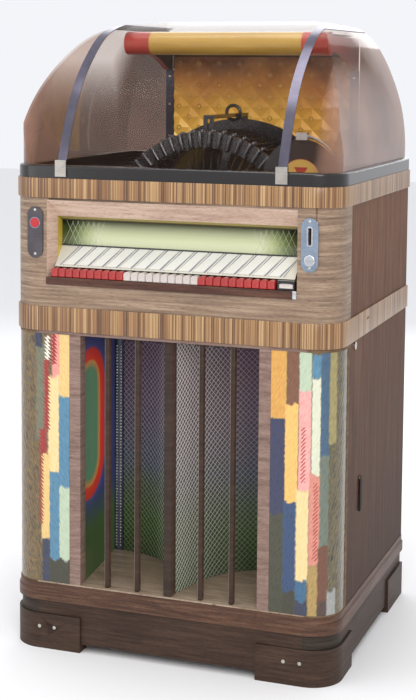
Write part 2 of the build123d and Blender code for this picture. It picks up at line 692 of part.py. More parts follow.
def dome_arch(t):
    low = RIM_TOP - 60
    right = shifted(ARCH_CURVE, t, -1)
    crown = (0.0, HEIGHT - t)
    left = [(-x, z) for x, z in right[::-1]]
    curve = right + [crown] + left
    spline = Spline(*curve)
    tail = Polyline(curve[-1], (curve[-1][0], low), (curve[0][0], low), curve[0])
    return extrude(Plane.XZ.offset(-400) * make_face([spline, tail]), 800)


def dome_solid(t, low):
    plan = slab(HALF - 13 - t, FRONT + 7 + t, BACK - max(t, 0), 62 - t, low, HEIGHT + 20)
    return dome_front(t) & dome_arch(t) & plan


def dome_glass():
    """A middle pane and two end pieces that meet under the straps."""
    shell = dome_solid(0, RIM_TOP) - dome_solid(GLASS, RIM_TOP - 20)
    middle = shell & block(-STRAP_X, STRAP_X, -400, 400, 0, 1500)
    ends = [shell & block(STRAP_X, 400, -400, 400, 0, 1500), shell & block(-400, -STRAP_X, -400, 400, 0, 1500)]
    return [middle] + ends


def dome_straps():
    shell = dome_solid(-STRAP_T, RIM_TOP) & block(STRAP_X - STRAP_W / 2, STRAP_X + STRAP_W / 2, -400, BACK, RIM_TOP, 1500)
    strap = shell - dome_solid(0, RIM_TOP - 1)
    clip = block(STRAP_X - 13, STRAP_X + 13, FRONT, FRONT + 4, 1064, RIM_TOP - 5)
    clip += block(STRAP_X - 13, STRAP_X + 13, FRONT, FRONT + 7, RIM_TOP, 1100)
    clip += block(STRAP_X - 13, STRAP_X + 13, FRONT, FRONT + 4, RIM_TOP - 6, RIM_TOP)
    clip -= dome_solid(-STRAP_T, RIM_TOP - 1)
    screw = rod_y(STRAP_X, 1074, FRONT - 0.0, FRONT + 4, 4)
    clip -= screw
    return both(strap) + both(clip) + both(screw)


def backdrop_panel():
    board = block(-PANEL_HALF, PANEL_HALF, 300, 310, RIM_TOP + SEAT, 1330)
    size = 38.0
    groove = Rot(45, 0, 0) * Box(900, 6, 6)
    for i in range(-12, 13):
        for turn in (45, -45):
            place = Pos(0, 300, 1205) * Rot(0, turn, 0) * Pos(0, 0, i * size)
            board -= place * groove
    trim = block(PANEL_HALF, PANEL_HALF + 20, 302, 312, RIM_TOP + SEAT, 1297)
    screws = []
    for z in (1130, 1210, 1280):
        screws += both(rod_y(PANEL_HALF + 10, z, 300, 302, 3))
    brackets = both(block(150, 190, 310, 321 - GLASS - SEAT, 1100, 1130))
    return [Pos(0, BACK_MOVE, 0) * item for item in [board] + both(trim) + screws + brackets]


def canopy_lamp():
    tube = rod_x(LAMP_Y, LAMP_Z, -187, 187, LAMP_R)
    cap = rod_x(LAMP_Y, LAMP_Z, 187, LAMP_HALF, LAMP_R)
    outline = [(LAMP_Y + 20, LAMP_Z + 18), (290, 1376), (311, 1376), (311, 1297), (285, 1297),
               (262, 1306), (230, 1320), (180, 1333), (120, 1341), (LAMP_Y + 10, 1342)]
    arm = prism_x(outline, 236, LAMP_HALF) - rod_x(LAMP_Y, LAMP_Z, 187, LAMP_HALF, LAMP_R)
    top = block(-236, 236, LAMP_Y + 10, 300, 1380, 1383)
    return [Pos(0, BACK_MOVE, 0) * item for item in [tube] + both(cap + arm) + [top]]


def main():
    fixed = {
        "base_plinth": base_plinth, "cabinet_shell": cabinet_shell, "band_mouldings": band_mouldings,
        "selector_fascia": selector_fascia, "mechanism_deck": mechanism_deck, "title_rack": title_rack,
        "key_rail": key_rail, "escutcheons": escutcheons, "coin_unit": coin_unit,
        "coin_return_button": coin_return_button, "amplifier": amplifier, "speaker": speaker,
        "mechanism_frame": mechanism_frame, "magazine_wheel": magazine_wheel, "records": records,
        "turntable": turntable, "tone_arm": tone_arm, "gripper_arm": gripper_arm,
        "door_frame": door_frame, "pilasters": pilasters, "grille_screen": grille_screen,
        "grille_bars": grille_bars, "door_latch": door_latch, "rear_door": rear_door,
        "lid_rim": lid_rim, "dome_glass": dome_glass, "dome_straps": dome_straps,
        "backdrop_panel": backdrop_panel, "canopy_lamp": canopy_lamp,
    }
    for name, make in fixed.items():
        save(name, *make())
    for index in range(3 * KEY_COUNT + 1):
        save(f"key_{index + 1:02d}", *selector_key(index))


main()
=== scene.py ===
import bmesh
import bpy
import math

from mathutils import Matrix, Vector


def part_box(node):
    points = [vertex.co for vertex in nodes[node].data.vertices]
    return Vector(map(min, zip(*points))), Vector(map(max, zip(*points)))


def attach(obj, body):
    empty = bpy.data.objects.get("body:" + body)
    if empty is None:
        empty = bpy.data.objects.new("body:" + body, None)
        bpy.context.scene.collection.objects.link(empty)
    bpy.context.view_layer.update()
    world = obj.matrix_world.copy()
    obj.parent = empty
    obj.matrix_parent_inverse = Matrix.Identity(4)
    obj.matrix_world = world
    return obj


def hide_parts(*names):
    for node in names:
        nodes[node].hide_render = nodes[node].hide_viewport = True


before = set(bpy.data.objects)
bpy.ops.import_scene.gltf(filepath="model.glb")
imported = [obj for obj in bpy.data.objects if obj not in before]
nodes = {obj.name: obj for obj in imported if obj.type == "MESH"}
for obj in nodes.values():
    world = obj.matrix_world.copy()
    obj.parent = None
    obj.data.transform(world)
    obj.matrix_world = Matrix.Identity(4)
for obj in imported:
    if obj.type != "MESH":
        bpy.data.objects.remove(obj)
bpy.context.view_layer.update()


# ---- Camera, light and floor --------------------------------------------------
# A studio corner: a pale floor, a broad soft light from the front left and a weaker one from the right,
# and a camera a little over three metres away at the height of the lid.

CAMERA_AT = (1.1605, -3.2902, 1.3014)
CAMERA_TURN = math.radians(19.90)
CAMERA_DIP = math.radians(5.43)
CAMERA_ROLL = math.radians(0.45)

camera_data = bpy.data.cameras.new("camera")
camera_data.sensor_width = 36.0
camera_data.lens = 77.52
camera_data.shift_x = 0.0025
camera_data.shift_y = -0.198
camera = bpy.data.objects.new("camera", camera_data)
turn = Matrix.Rotation(CAMERA_TURN, 4, "Z") @ Matrix.Rotation(math.pi / 2 - CAMERA_DIP, 4, "X")
camera.matrix_world = Matrix.Translation(CAMERA_AT) @ turn @ Matrix.Rotation(CAMERA_ROLL, 4, "Z")
bpy.context.scene.collection.objects.link(camera)
bpy.context.scene.camera = camera
bpy.context.scene.view_settings.view_transform = "Standard"


def lamp_panel(name, place, aim, width, power, warmth):
    light = bpy.data.lights.new(name, "AREA")
    light.shape = "RECTANGLE"
    light.size = width
    light.size_y = width * 1.3
    light.energy = power
    light.color = warmth
    panel = bpy.data.objects.new(name, light)
    panel.location = place
    panel.rotation_euler = (Vector(aim) - Vector(place)).to_track_quat("-Z", "Y").to_euler()
    bpy.context.scene.collection.objects.link(panel)


lamp_panel("key_light", (1.5, -3.6, 2.7), (0, 0, 0.8), 1.9, 78, (1.0, 0.97, 0.93))
lamp_panel("fill_light", (-2.6, -2.6, 1.6), (0, 0, 0.6), 2.2, 22, (0.95, 0.97, 1.0))
lamp_panel("top_light", (-0.2, -0.5, 3.4), (0, 0, 1.2), 1.4, 22, (1.0, 1.0, 1.0))
lamp_panel("back_light", (-0.6, 3.2, 2.4), (0, 0, 0.9), 2.4, 40, (1.0, 1.0, 1.0))

sky = bpy.data.worlds.new("studio")
sky.use_nodes = True
sky.node_tree.nodes["Background"].inputs["Color"].default_value = (0.95, 0.96, 1.0, 1)
sky.node_tree.nodes["Background"].inputs["Strength"].default_value = 0.95
bpy.context.scene.world = sky

floor_mesh = bpy.data.meshes.new("studio_floor")
FLOOR_REACH = 14.0
floor_corners = [(x * FLOOR_REACH, y * FLOOR_REACH, 0) for x, y in ((-1, -1), (1, -1), (1, 1), (-1, 1))]
floor_mesh.from_pydata(floor_corners, [], [(0, 1, 2, 3)])
studio_floor = bpy.data.objects.new("studio_floor", floor_mesh)
floor_paint = bpy.data.materials.new("floor_paint")
floor_paint.use_nodes = True
floor_paint.node_tree.nodes["Principled BSDF"].inputs["Base Color"].default_value = (0.86, 0.86, 0.86, 1)
floor_paint.node_tree.nodes["Principled BSDF"].inputs["Roughness"].default_value = 0.85
floor_mesh.materials.append(floor_paint)
bpy.context.scene.collection.objects.link(studio_floor)


# ---- Base ---------------------------------------------------------------------
# Dark stained hardwood: a recessed neck under the cabinet on four corner feet, with two screws in each
# front foot. This section also makes the tools for finishes and for copying a built part.

class Wire:
    """One value in a finish. Operators on wires add the Math nodes."""

    def __init__(self, finish, socket):
        self.finish = finish
        self.socket = socket

    def math(self, kind, *others, clamp=False):
        settings = {"operation": kind, "use_clamp": clamp}
        return self.finish.node("Math", settings, dict(enumerate((self, *others))))

    def __add__(self, other):
        return self.math("ADD", other)

    def __sub__(self, other):
        return self.math("SUBTRACT", other)

    def __rsub__(self, other):
        return self.finish.node("Math", {"operation": "SUBTRACT"}, {0: other, 1: self})

    def __mul__(self, other):
        return self.math("MULTIPLY", other)

    def __truediv__(self, other):
        return self.math("DIVIDE", other)

    __radd__ = __add__
    __rmul__ = __mul__

    def above(self, other):
        return self.math("GREATER_THAN", other)

    def below(self, other):
        return self.math("LESS_THAN", other)

    def floor(self):
        return self.math("FLOOR")

    def part(self):
        return self.math("FRACT")

    def size(self):
        return self.math("ABSOLUTE")

    def wave(self):
        return self.math("SINE")

    def power(self, n):
        return self.math("POWER", n)

    def capped(self):
        return self.math("MULTIPLY", 1.0, clamp=True)


class Finish:
    """One material: its Principled shader, its constants, and the nodes behind what varies."""

    def __init__(self, name, constants):
        self.material = bpy.data.materials.new(name)
        self.material.use_nodes = True
        self.tree = self.material.node_tree
        self.shader = self.tree.nodes["Principled BSDF"]
        for socket, value in constants.items():
            self.shader.inputs[socket].default_value = value

    def node(self, kind, settings, inputs, output=0):
        made = self.tree.nodes.new("ShaderNode" + kind)
        for key, value in settings.items():
            if key == "stops":
                self.set_stops(made.color_ramp, value)
            elif key == "smooth":
                made.color_ramp.interpolation = value
            else:
                setattr(made, key, value)
        for key, value in inputs.items():
            if isinstance(value, Wire):
                self.tree.links.new(value.socket, made.inputs[key])
            else:
                made.inputs[key].default_value = value
        return Wire(self, made.outputs[output])

    def set_stops(self, ramp, stops):
        while len(ramp.elements) > 1:
            ramp.elements.remove(ramp.elements[-1])
        ramp.elements[0].position = stops[0][0]
        ramp.elements[0].color = tone(stops[0][1])
        for place, colour in stops[1:]:
            ramp.elements.new(place).color = tone(colour)

    def place(self):
        return self.node("TexCoord", {}, {}, 3)

    def run(self):
        return self.node("UVMap", {"uv_map": "run"}, {})

    def split(self, vector):
        first = self.node("SeparateXYZ", {}, {0: vector})
        return [Wire(self, socket) for socket in first.socket.node.outputs]

    def scaled(self, vector, scale, turn=(0, 0, 0)):
        return self.node("Mapping", {}, {"Vector": vector, "Scale": scale, "Rotation": turn})

    def noise(self, vector, scale, detail=3.0, rough=0.5):
        inputs = {"Vector": vector, "Scale": scale, "Detail": detail, "Roughness": rough}
        return self.node("TexNoise", {}, inputs)

    def chance(self, value):
        return self.node("TexWhiteNoise", {"noise_dimensions": "1D"}, {"W": value})

    def ramp(self, value, stops, smooth="LINEAR"):
        return self.node("ValToRGB", {"stops": stops, "smooth": smooth}, {0: value})

    def blend(self, mask, under, over, kind="MIX"):
        under, over = (c if isinstance(c, Wire) else tone(c) for c in (under, over))
        return self.node("Mix", {"data_type": "RGBA", "blend_type": kind}, {0: mask, 6: under, 7: over}, 2)

    def relief(self, height, depth, strength=1.0):
        return self.node("Bump", {}, {"Height": height, "Distance": depth, "Strength": strength})

    def feed(self, sockets):
        for socket, value in sockets.items():
            self.tree.links.new(value.socket, self.shader.inputs[socket])
        return self


def tone(colour):
    """A shader colour from a paint maker's 0 to 255 values. One that has four values is ready as it is."""
    if len(colour) == 4:
        return colour
    return tuple(((v / 255 + 0.055) / 1.055) ** 2.4 if v > 10 else v / 3294 for v in colour) + (1.0,)


def veneer(name, dark, middle, pale, grain=(1.6, 1.6, 26), rough=0.42, coat=0.15, painted_low_shade=False):
    """Lacquered wood with long streaks, fine pores and a slight figure."""
    wood = Finish(name, {"Coat Weight": coat * 0.5, "Coat Roughness": 0.25, "Specular IOR Level": 0.22})
    at = wood.place()
    streak = wood.noise(wood.scaled(at, grain), 7.0, 6.0, 0.62)
    fine = wood.noise(wood.scaled(at, tuple(g * 6 for g in grain)), 12.0, 3.0, 0.5)
    cloud = wood.noise(at, 3.0, 2.0)
    mixed = streak * 0.62 + fine * 0.28 + cloud * 0.1
    colour = wood.ramp(mixed, [(0.36, dark), (0.5, middle), (0.64, pale)])
    pores = wood.ramp(fine, [(0.30, (120, 105, 100)), (0.42, (255, 255, 255))])
    colour = wood.blend(0.55, colour, wood.blend(1.0, colour, pores, "MULTIPLY"))
    # Painted shade: this darkens the wood more and more toward the bottom of the part.
    if painted_low_shade:
        wood.shader.inputs["Specular IOR Level"].default_value = 0.1
        _, _, z = wood.split(at)
        darkening = [(0.12, (150, 144, 140)), (0.7, (222, 220, 218)), (0.95, (255, 255, 255))]
        shade = wood.ramp(z.capped(), darkening)
        colour = wood.blend(1.0, colour, shade, "MULTIPLY")
    wood.feed({"Base Color": colour, "Roughness": fine * 0.3 + (rough - 0.12)})
    wood.feed({"Normal": wood.relief(fine + streak * 0.5, 0.0006, 0.35)})
    return wood


def metal(name, colour, rough=0.3, scratch=0.12, metallic=1.0):
    """Plated or cast metal with faint handling marks."""
    plate = Finish(name, {"Metallic": metallic})
    at = plate.place()
    cloud = plate.noise(at, 22.0, 4.0, 0.6)
    marks = plate.noise(plate.scaled(at, (1, 1, 14)), 60.0, 3.0)
    dim = tuple(c * 0.72 for c in tone(colour)[:3]) + (1.0,)
    plate.feed({"Base Color": plate.ramp(cloud * 0.6 + marks * 0.4, [(0.35, dim), (0.6, colour)])})
    plate.feed({"Roughness": cloud * scratch + marks * scratch + (rough - scratch)})
    plate.feed({"Normal": plate.relief(marks, 0.0002, 0.25)})
    return plate


def build(name, points, faces, body, finishes, stands_for=(), choose=None, crease=35, uv=None):
    """A new piece: its mesh, its finishes, the body it rides on and the built part it stands for."""
    mesh = bpy.data.meshes.new(name)
    mesh.from_pydata(points, [], faces)
    return dress(name, mesh, body, finishes, stands_for, choose, crease, uv)


def dress(name, mesh, body, finishes, stands_for=(), choose=None, crease=35, uv=None):
    mesh.validate()
    mesh.materials.clear()
    for finish in finishes:
        mesh.materials.append(finish.material)
    for face in mesh.polygons:
        face.use_smooth = True
        if choose:
            face.material_index = choose(middle(mesh.vertices[i].co for i in face.vertices), face.normal)
    mesh.set_sharp_from_angle(angle=math.radians(crease))
    if uv:
        layer = mesh.uv_layers.new(name="run")
        for loop in mesh.loops:
            layer.data[loop.index].uv = uv(mesh.vertices[loop.vertex_index].co)
    piece = bpy.data.objects.new(name, mesh)
    bpy.context.scene.collection.objects.link(piece)
    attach(piece, body)
    if stands_for:
        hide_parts(*stands_for)
    return piece


def turn_out(mesh):
    """All faces point outward."""
    form = bmesh.new()
    form.from_mesh(mesh)
    bmesh.ops.recalc_face_normals(form, faces=form.faces)
    form.to_mesh(mesh)
    form.free()


def ring_faces(rings, count):
    """Faces round a stack of equal rings of points, with both ends closed."""
    faces = []
    for i in range(rings - 1):
        for j in range(count):
            k = (j + 1) % count
            faces.append((i * count + j, (i + 1) * count + j, (i + 1) * count + k, i * count + k))
    faces.append(tuple(range(count)))
    faces.append(tuple((rings - 1) * count + j for j in reversed(range(count))))
    return faces


def middle(spots):
    """The middle of a face's extents, in mm."""
    spots = list(spots)
    return Vector([(min(s[i] for s in spots) + max(s[i] for s in spots)) * 500 for i in range(3)])


def off_axis(c, x, z):
    """Distance of a face's middle, in mm, from an axis at x and z metres that runs front to back."""
    return math.hypot(c.x - x * 1000, c.z - z * 1000)


def joiner_copy(node):
    """The built part's mesh, merged and with its flat faces whole again."""
    form = bmesh.new()
    form.from_mesh(nodes[node].data)
    bmesh.ops.remove_doubles(form, verts=form.verts, dist=0.00002)
    bmesh.ops.dissolve_limit(form, angle_limit=math.radians(0.6), verts=form.verts, edges=form.edges)
    return form


def copy_part(name, node, body, finishes, choose=None, ease=0.0, stand=True, keep=None):
    """A copy of a built part with its own finishes and eased edges."""
    form = joiner_copy(node)
    if keep:
        lost = [face for face in form.faces if not keep(middle(v.co for v in face.verts))]
        bmesh.ops.delete(form, geom=lost, context="FACES")
    mesh = bpy.data.meshes.new(name)
    form.to_mesh(mesh)
    form.free()
    piece = dress(name, mesh, body, finishes, [node] if stand else [], choose)
    if ease:
        rounding = piece.modifiers.new("eased_edges", "BEVEL")
        rounding.width = ease
        rounding.segments = 2
        rounding.limit_method = "ANGLE"
        rounding.angle_limit = math.radians(40)
    return piece


def plain_copy(name, node, body, finishes, choose=None):
    """A copy of a curved part that keeps its smooth shading as built."""
    mesh = nodes[node].data.copy()
    mesh.name = name
    mesh.materials.clear()
    for finish in finishes:
        mesh.materials.append(finish.material)
    for face in mesh.polygons:
        face.material_index = choose(face.center * 1000, face.normal) if choose else 0
    piece = bpy.data.objects.new(name, mesh)
    bpy.context.scene.collection.objects.link(piece)
    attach(piece, body)
    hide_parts(node)
    return piece


stained = veneer("dark_stain", (34, 27, 21), (48, 39, 31), (64, 53, 43), rough=0.5, coat=0.08)
stained_foot = veneer("foot_stain", (44, 30, 23), (60, 43, 33), (76, 57, 45), rough=0.5, coat=0.08)
screw_steel = metal("screw_steel", (200, 198, 190), 0.28)


def plinth_finish(c, n):
    if c.y < -324 and abs(c.z - 50) < 5 and 262 < abs(c.x) < 310:
        return 2
    return 1 if c.z < 80 and (abs(c.x) > 205 or abs(c.y) > 175) else 0


copy_part("base", "base_plinth", "cabinet",
          [stained, stained_foot, screw_steel], plinth_finish, 0.0012)


# ---- Cabinet ------------------------------------------------------------------
# Veneered side boards on a two-step hardwood moulding, a plain back frame and inner boards, with steel
# hinges and a plated lock. The sides are darker and redder than the front.

# The side boards carry painted shade that darkens them toward the floor.
side_walnut = veneer("side_walnut", (84, 52, 36), (106, 71, 50), (130, 93, 68), (4, 15, 0.9), 0.5, 0.04, True)
moulding_wood = veneer("moulding_wood", (56, 36, 26), (80, 54, 40), (106, 78, 60), (1.6, 1.6, 30), 0.4, 0.2)
plain_board = veneer("plain_board", (80, 62, 46), (104, 82, 62), (126, 102, 78), (3, 3, 12), 0.7, 0.0)
hinge_steel = metal("hinge_steel", (150, 146, 138), 0.35)


def shell_finish(c, n):
    if c.z < 150.2:
        return 1
    if c.x > 364 and abs(c.z - 712) < 10 and abs(c.y + 182) < 10:
        return 3
    if c.y > 321.2 or (c.x < -375.9 and c.y < -215 and n.x > -0.999):
        return 3
    if abs(c.x) > 375.5 or (c.y < -219 and abs(c.x) > 357):
        return 0
    return 2


copy_part("cabinet_boards", "cabinet_shell", "cabinet",
          [side_walnut, moulding_wood, plain_board, screw_steel], shell_finish, 0.0015)


# ---- Striped bands ------------------------------------------------------------
# Two bands of narrow upright strips of pale, tan and brown wood glued side by side, bent round both
# front corners and lacquered. Two small screws hold the lower one at the right.

WALL_X = 0.380
WALL_FRONT = -0.325
WALL_BACK = 0.321
CORNER = 0.070
CORNER_STEPS = 16
STRIP_WIDTH = 0.0058
NARROW_WIDTH = 0.0018


def wall_path():
    """Points round the cabinet's front, from the back left to the back right, with the way out at each."""
    path = [(-WALL_X, WALL_BACK, -1, 0), (-WALL_X, WALL_FRONT + CORNER, -1, 0)]
    for i in range(1, CORNER_STEPS + 1):
        a = math.pi / 2 * i / CORNER_STEPS
        x = -WALL_X + CORNER - CORNER * math.cos(a)
        y = WALL_FRONT + CORNER - CORNER * math.sin(a)
        path.append((x, y, -math.cos(a), -math.sin(a)))
    path += [(-x, y, -nx, ny) for x, y, nx, ny in reversed(path)]
    return path


def run_along(path):
    """The length along the path at each of its points."""
    length = 0.0
    marks = [0.0]
    for (x0, y0, *_), (x1, y1, *_) in zip(path, path[1:]):
        length += math.hypot(x1 - x0, y1 - y0)
        marks.append(length)
    return marks


def band(name, low, high):
    """A bent strip with softly rounded upper and lower edges, and its length along the wall as a map."""
    path = wall_path()
    section = [(0.0037, low), (0.0012, low), (0.0004, low + 0.0008), (0.0, low + 0.002), (0.0, high - 0.002),
               (0.0004, high - 0.0008), (0.0012, high), (0.0037, high)]
    points, runs = [], []
    for (x, y, nx, ny), mark in zip(path, run_along(path)):
        for depth, z in section:
            points.append((x - nx * depth, y - ny * depth, z))
            runs.append((mark, z))
    faces = ring_faces(len(path), len(section))
    table = {tuple(round(c, 5) for c in p): r for p, r in zip(points, runs)}
    build(name, points, faces, "cabinet", [strips], ["band_mouldings"],
          uv=lambda co: table[tuple(round(c, 5) for c in co)])


strips = Finish("wood_strips", {"Coat Weight": 0.3, "Coat Roughness": 0.2})
along, _, _ = strips.split(strips.run())
which = strips.chance((along / STRIP_WIDTH).floor())
narrow = strips.chance((along / NARROW_WIDTH).floor() + 400.0)
strip_colour = strips.ramp(which * 0.5 + narrow * 0.5, [
    (0.0, (84, 60, 38)), (0.2, (108, 78, 50)), (0.34, (130, 98, 66)), (0.48, (150, 122, 84)),
    (0.62, (172, 148, 112)), (0.76, (140, 108, 74)), (0.88, (94, 62, 40))], "CONSTANT")
grain = strips.noise(strips.scaled(strips.run(), (620, 9, 1)), 1.0, 3.0)
grain_colour = strips.ramp(grain, [(0.3, (128, 84, 52)), (0.7, (232, 204, 160))])
strip_colour = strips.blend(0.5, strip_colour, grain_colour, "SOFT_LIGHT")
joint = ((along / STRIP_WIDTH).part() - 0.5).size().above(0.44)
strip_colour = strips.blend(joint * 0.35, strip_colour, (88, 58, 36))
strips.feed({"Base Color": strip_colour, "Roughness": grain * 0.2 + 0.3})
strips.feed({"Normal": strips.relief(grain - joint * 0.6, 0.0005, 0.5)})
band("lower_band", 0.723, 0.777)
band("upper_band", 1.017, 1.060)
copy_part("band_screws", "band_mouldings", "cabinet", [screw_steel], stand=False,
          keep=lambda c: c.x > 376.9 and abs(c.z - 757) < 3.6 and -92 < c.y < -72)


# ---- Selector fascia ----------------------------------------------------------
# The walnut-veneered front round the selector window: rails above and below and rounded sides, with a
# pale bevelled reveal round the opening.

front_walnut = veneer("front_walnut", (104, 84, 70), (138, 116, 97), (170, 148, 126),
                      (1.0, 1.0, 24), 0.42, 0.15)
reveal_wood = veneer("reveal_wood", (168, 138, 122), (196, 168, 150), (212, 190, 172),
                     (1.2, 1.2, 20), 0.35, 0.3)


def fascia_finish(c, n):
    if c.y < -280 and abs(c.x) < 288 and 824 < c.z < 1014 and -0.97 < n.y < 0.9:
        return 1
    return 2 if c.y > -296 and n.y > 0.5 else 0


copy_part("fascia", "selector_fascia", "cabinet",
          [front_walnut, reveal_wood, plain_board], fascia_finish)


# ---- Title rack ---------------------------------------------------------------
# A sloped sheet of white title strips under a pale green panel with a diamond lattice of thin raised
# lines that fades in from each end. The cheeks and the strip above are gold plastic.

def flat_paint(name, colour, rough=0.45, mottle=0.06, coat=0.0, metallic=0.0):
    """A painted or moulded surface with slight unevenness."""
    paint = Finish(name, {"Coat Weight": coat, "Coat Roughness": 0.12, "Metallic": metallic})
    at = paint.place()
    cloud = paint.noise(at, 9.0, 3.0)
    fine = paint.noise(at, 160.0, 2.0)
    dim = tuple(c * (1 - mottle * 4) for c in tone(colour)[:3]) + (1.0,)
    paint.feed({"Base Color": paint.ramp(cloud * 0.7 + fine * 0.3, [(0.3, dim), (0.62, colour)])})
    paint.feed({"Roughness": fine * 0.2 + (rough - 0.1)})
    paint.feed({"Normal": paint.relief(fine, 0.0002, 0.2)})
    return paint


def lattice_panel(name):
    """Pale green in the middle, dark green with pale lines toward both ends."""
    paint = Finish(name, {"Roughness": 0.35, "Coat Weight": 0.3})
    x, _, z = paint.split(paint.place())
    away = (x.size() * -1.0 + 0.279) * 14.0
    depth = (away * -1.0 + 1.25).capped()
    green = paint.ramp(depth, [(0.0, (212, 218, 178)), (0.35, (178, 190, 136)),
                               (0.7, (110, 126, 74)), (1.0, (72, 84, 44))])
    low = (z - 0.905) * 60.0
    green = paint.blend((low * -0.5 + 1.0).capped() * 0.35, green, (48, 58, 44))
    paint.feed({"Base Color": green})
    return paint


gold_plastic = flat_paint("gold_plastic", (214, 184, 72), 0.32, 0.05, 0.4)
olive_strip = flat_paint("olive_strip", (150, 134, 62), 0.35, 0.06, 0.3)
title_paper = flat_paint("title_paper", (216, 216, 208), 0.6, 0.02)
title_cream = flat_paint("title_cream", (206, 204, 190), 0.6, 0.03)
# Painted shadow: blue-grey for the shaded gaps between the white title bars.
gap_shadow_blue = flat_paint("gap_shadow_blue", (112, 124, 146), 0.5, 0.04)
tray_brown = flat_paint("tray_brown", (62, 40, 32), 0.5)
lamp_white = flat_paint("lamp_white", (244, 240, 226), 0.3, 0.02, 0.3)
gloss_black = flat_paint("gloss_black", (22, 22, 26), 0.22, 0.05, 0.5)


def rack_finish(c, n):
    if abs(c.x) > 275.9:
        return 0
    if c.z > 962.8:
        return 1
    if c.z > 906.9 and c.y < -258:
        return 2
    if c.y > -258:
        return 6 if c.z > 920 else 5
    if c.z < 864.2 and c.y > -300:
        return 5
    return 3 if c.z < 866.4 + (c.y + 299) * 1.0789 else 4


rack_paints = [gold_plastic, olive_strip, lattice_panel("lattice_green"), title_cream, title_paper,
               tray_brown, lamp_white]
copy_part("title_holder", "title_rack", "cabinet", rack_paints, rack_finish)


def strand(base):
    """The two faces of a raised line, between three points at each of its ends."""
    return [(base, base + 1, base + 4, base + 3), (base + 1, base + 2, base + 5, base + 4)]


def title_lattice():
    """Crossed thin lines on the green panel, from each end toward the middle."""
    pitch, half = 0.0125, 0.00035
    points, faces = [], []
    for side in (-1, 1):
        for i in range(-5, 13):
            for lean in (-1, 1):
                low, high = 0.908, 0.962
                start = side * 0.275 - side * i * pitch
                end = start + lean * (high - low) * 0.5
                if max(abs(start), abs(end)) > 0.2755 or min(abs(start), abs(end)) < 0.165:
                    continue
                base = len(points)
                for x, z in ((start, low), (end, high)):
                    points.extend([(x - half, -0.2621, z), (x, -0.2630, z), (x + half, -0.2621, z)])
                faces += strand(base)
    build("title_lattice", points, faces, "cabinet", [title_paper])


title_lattice()


def title_rules():
    """Two thin strips of painted blue-grey shadow in every gap between the white bars, and a dark bar at the
    panel's foot.
    """
    points, faces = [], []
    for i in range(16):
        for start in (-9.9, -2.3):
            x = (-256 + 33.8 * i + start) / 1000
            base = len(points)
            for s in (0.02, 0.98):
                for dx in (0.0, 0.0022):
                    across = min(max(x + dx + 0.032 * s, -0.2755), 0.2755)
                    points.append((across, -0.299 + 0.038 * s - 0.0005, 0.866 + 0.041 * s + 0.0005))
            faces.append((base, base + 1, base + 3, base + 2))
    base = len(points)
    for x in (-0.2755, 0.2755):
        points.extend([(x, -0.2642, 0.9072), (x, -0.2642, 0.9094), (x, -0.2622, 0.9096)])
    faces += [(base, base + 3, base + 4, base + 1), (base + 1, base + 4, base + 5, base + 2)]
    gap_shadow_strips = build("title_rules", points, faces, "cabinet", [gap_shadow_blue, gloss_black])
    for face in gap_shadow_strips.data.polygons[-2:]:
        face.material_index = 1


title_rules()


# ---- Key rail and selector keys -----------------------------------------------
# A dark wooden rail with a plated end carries thirty-one moulded finger keys, each with an arched top
# and a softly rounded face on a round stem. Two tens are red; the middle ten and the reset key are white.

rail_brown = veneer("rail_brown", (54, 32, 26), (76, 48, 38), (96, 64, 50), rough=0.35, coat=0.3)
chrome = metal("chrome", (226, 228, 232), 0.16, 0.05)
key_red = flat_paint("key_red", (164, 40, 36), 0.34, 0.05, 0.3)
key_white = flat_paint("key_white", (194, 184, 178), 0.36, 0.03, 0.3)


def rail_finish(c, n):
    if c.z > 843.2 or (242 < c.x < 280 and c.z > 842.9):
        return 2
    return 1 if c.x > 277.9 else 0


copy_part("rail", "key_rail", "cabinet", [rail_brown, chrome, gloss_black], rail_finish, 0.0006)


def key_cap(name, low, high, arch, finish):
    """An arched cap with a rounded rim, a shallow dish in its face, and its stem."""
    mid = (low.x + high.x) / 2
    half = (high.x - low.x) / 2
    tall = high.z - low.z
    turns = [math.pi * i / 14 for i in range(15)]
    outline = [(-1, 0.0), (-1, 0.35)]
    outline += [(-math.cos(a), 1 - arch + arch * math.sin(a)) for a in turns]
    outline += [(1, 0.35), (1, 0.0), (0.5, 0.0), (0, 0.0), (-0.5, 0.0)]
    front, back = low.y, low.y + 0.023
    layers = [(back, 0.97), (back - 0.0006, 1.0), (front + 0.0030, 1.0), (front + 0.0012, 0.97),
              (front + 0.0002, 0.88), (front, 0.76), (front + 0.0012, 0.5), (front + 0.0015, 0.2)]
    points = []
    for y, shrink in layers:
        for u, v in outline:
            points.append((mid + u * half * shrink, y, low.z + tall * (0.5 + (v - 0.5) * shrink)))
    faces = ring_faces(len(layers), len(outline))
    stem_z = low.z + 0.009 if tall > 0.012 else (low.z + high.z) / 2
    base = len(points)
    for y in (back, high.y):
        for j in range(12):
            a = 2 * math.pi * j / 12
            points.append((mid + 0.003 * math.cos(a), y, stem_z + 0.003 * math.sin(a)))
    for j in range(12):
        k = (j + 1) % 12
        faces.append((base + j, base + k, base + 12 + k, base + 12 + j))
    faces.append(tuple(base + 12 + j for j in reversed(range(12))))
    turn_out(build(name + "_cap", points, faces, name, [finish], [name], crease=40).data)


for number in range(1, 32):
    key = "key_%02d" % number
    red = number <= 10 or 21 <= number <= 30
    low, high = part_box(key)
    finish, slot = (key_red, "red_plastic") if red else (key_white, "white_plastic")
    key_cap(key, low, high, 0.34 if number < 31 else 0.2, finish)


# ---- Coin plates and return button --------------------------------------------
# Rounded plated plates on both sides of the window: a red signal lens at the left, a coin slot and the
# round return button at the right. Each plate is held by two small screws.

plate_chrome = metal("plate_chrome", (160, 174, 192), 0.24, 0.08)
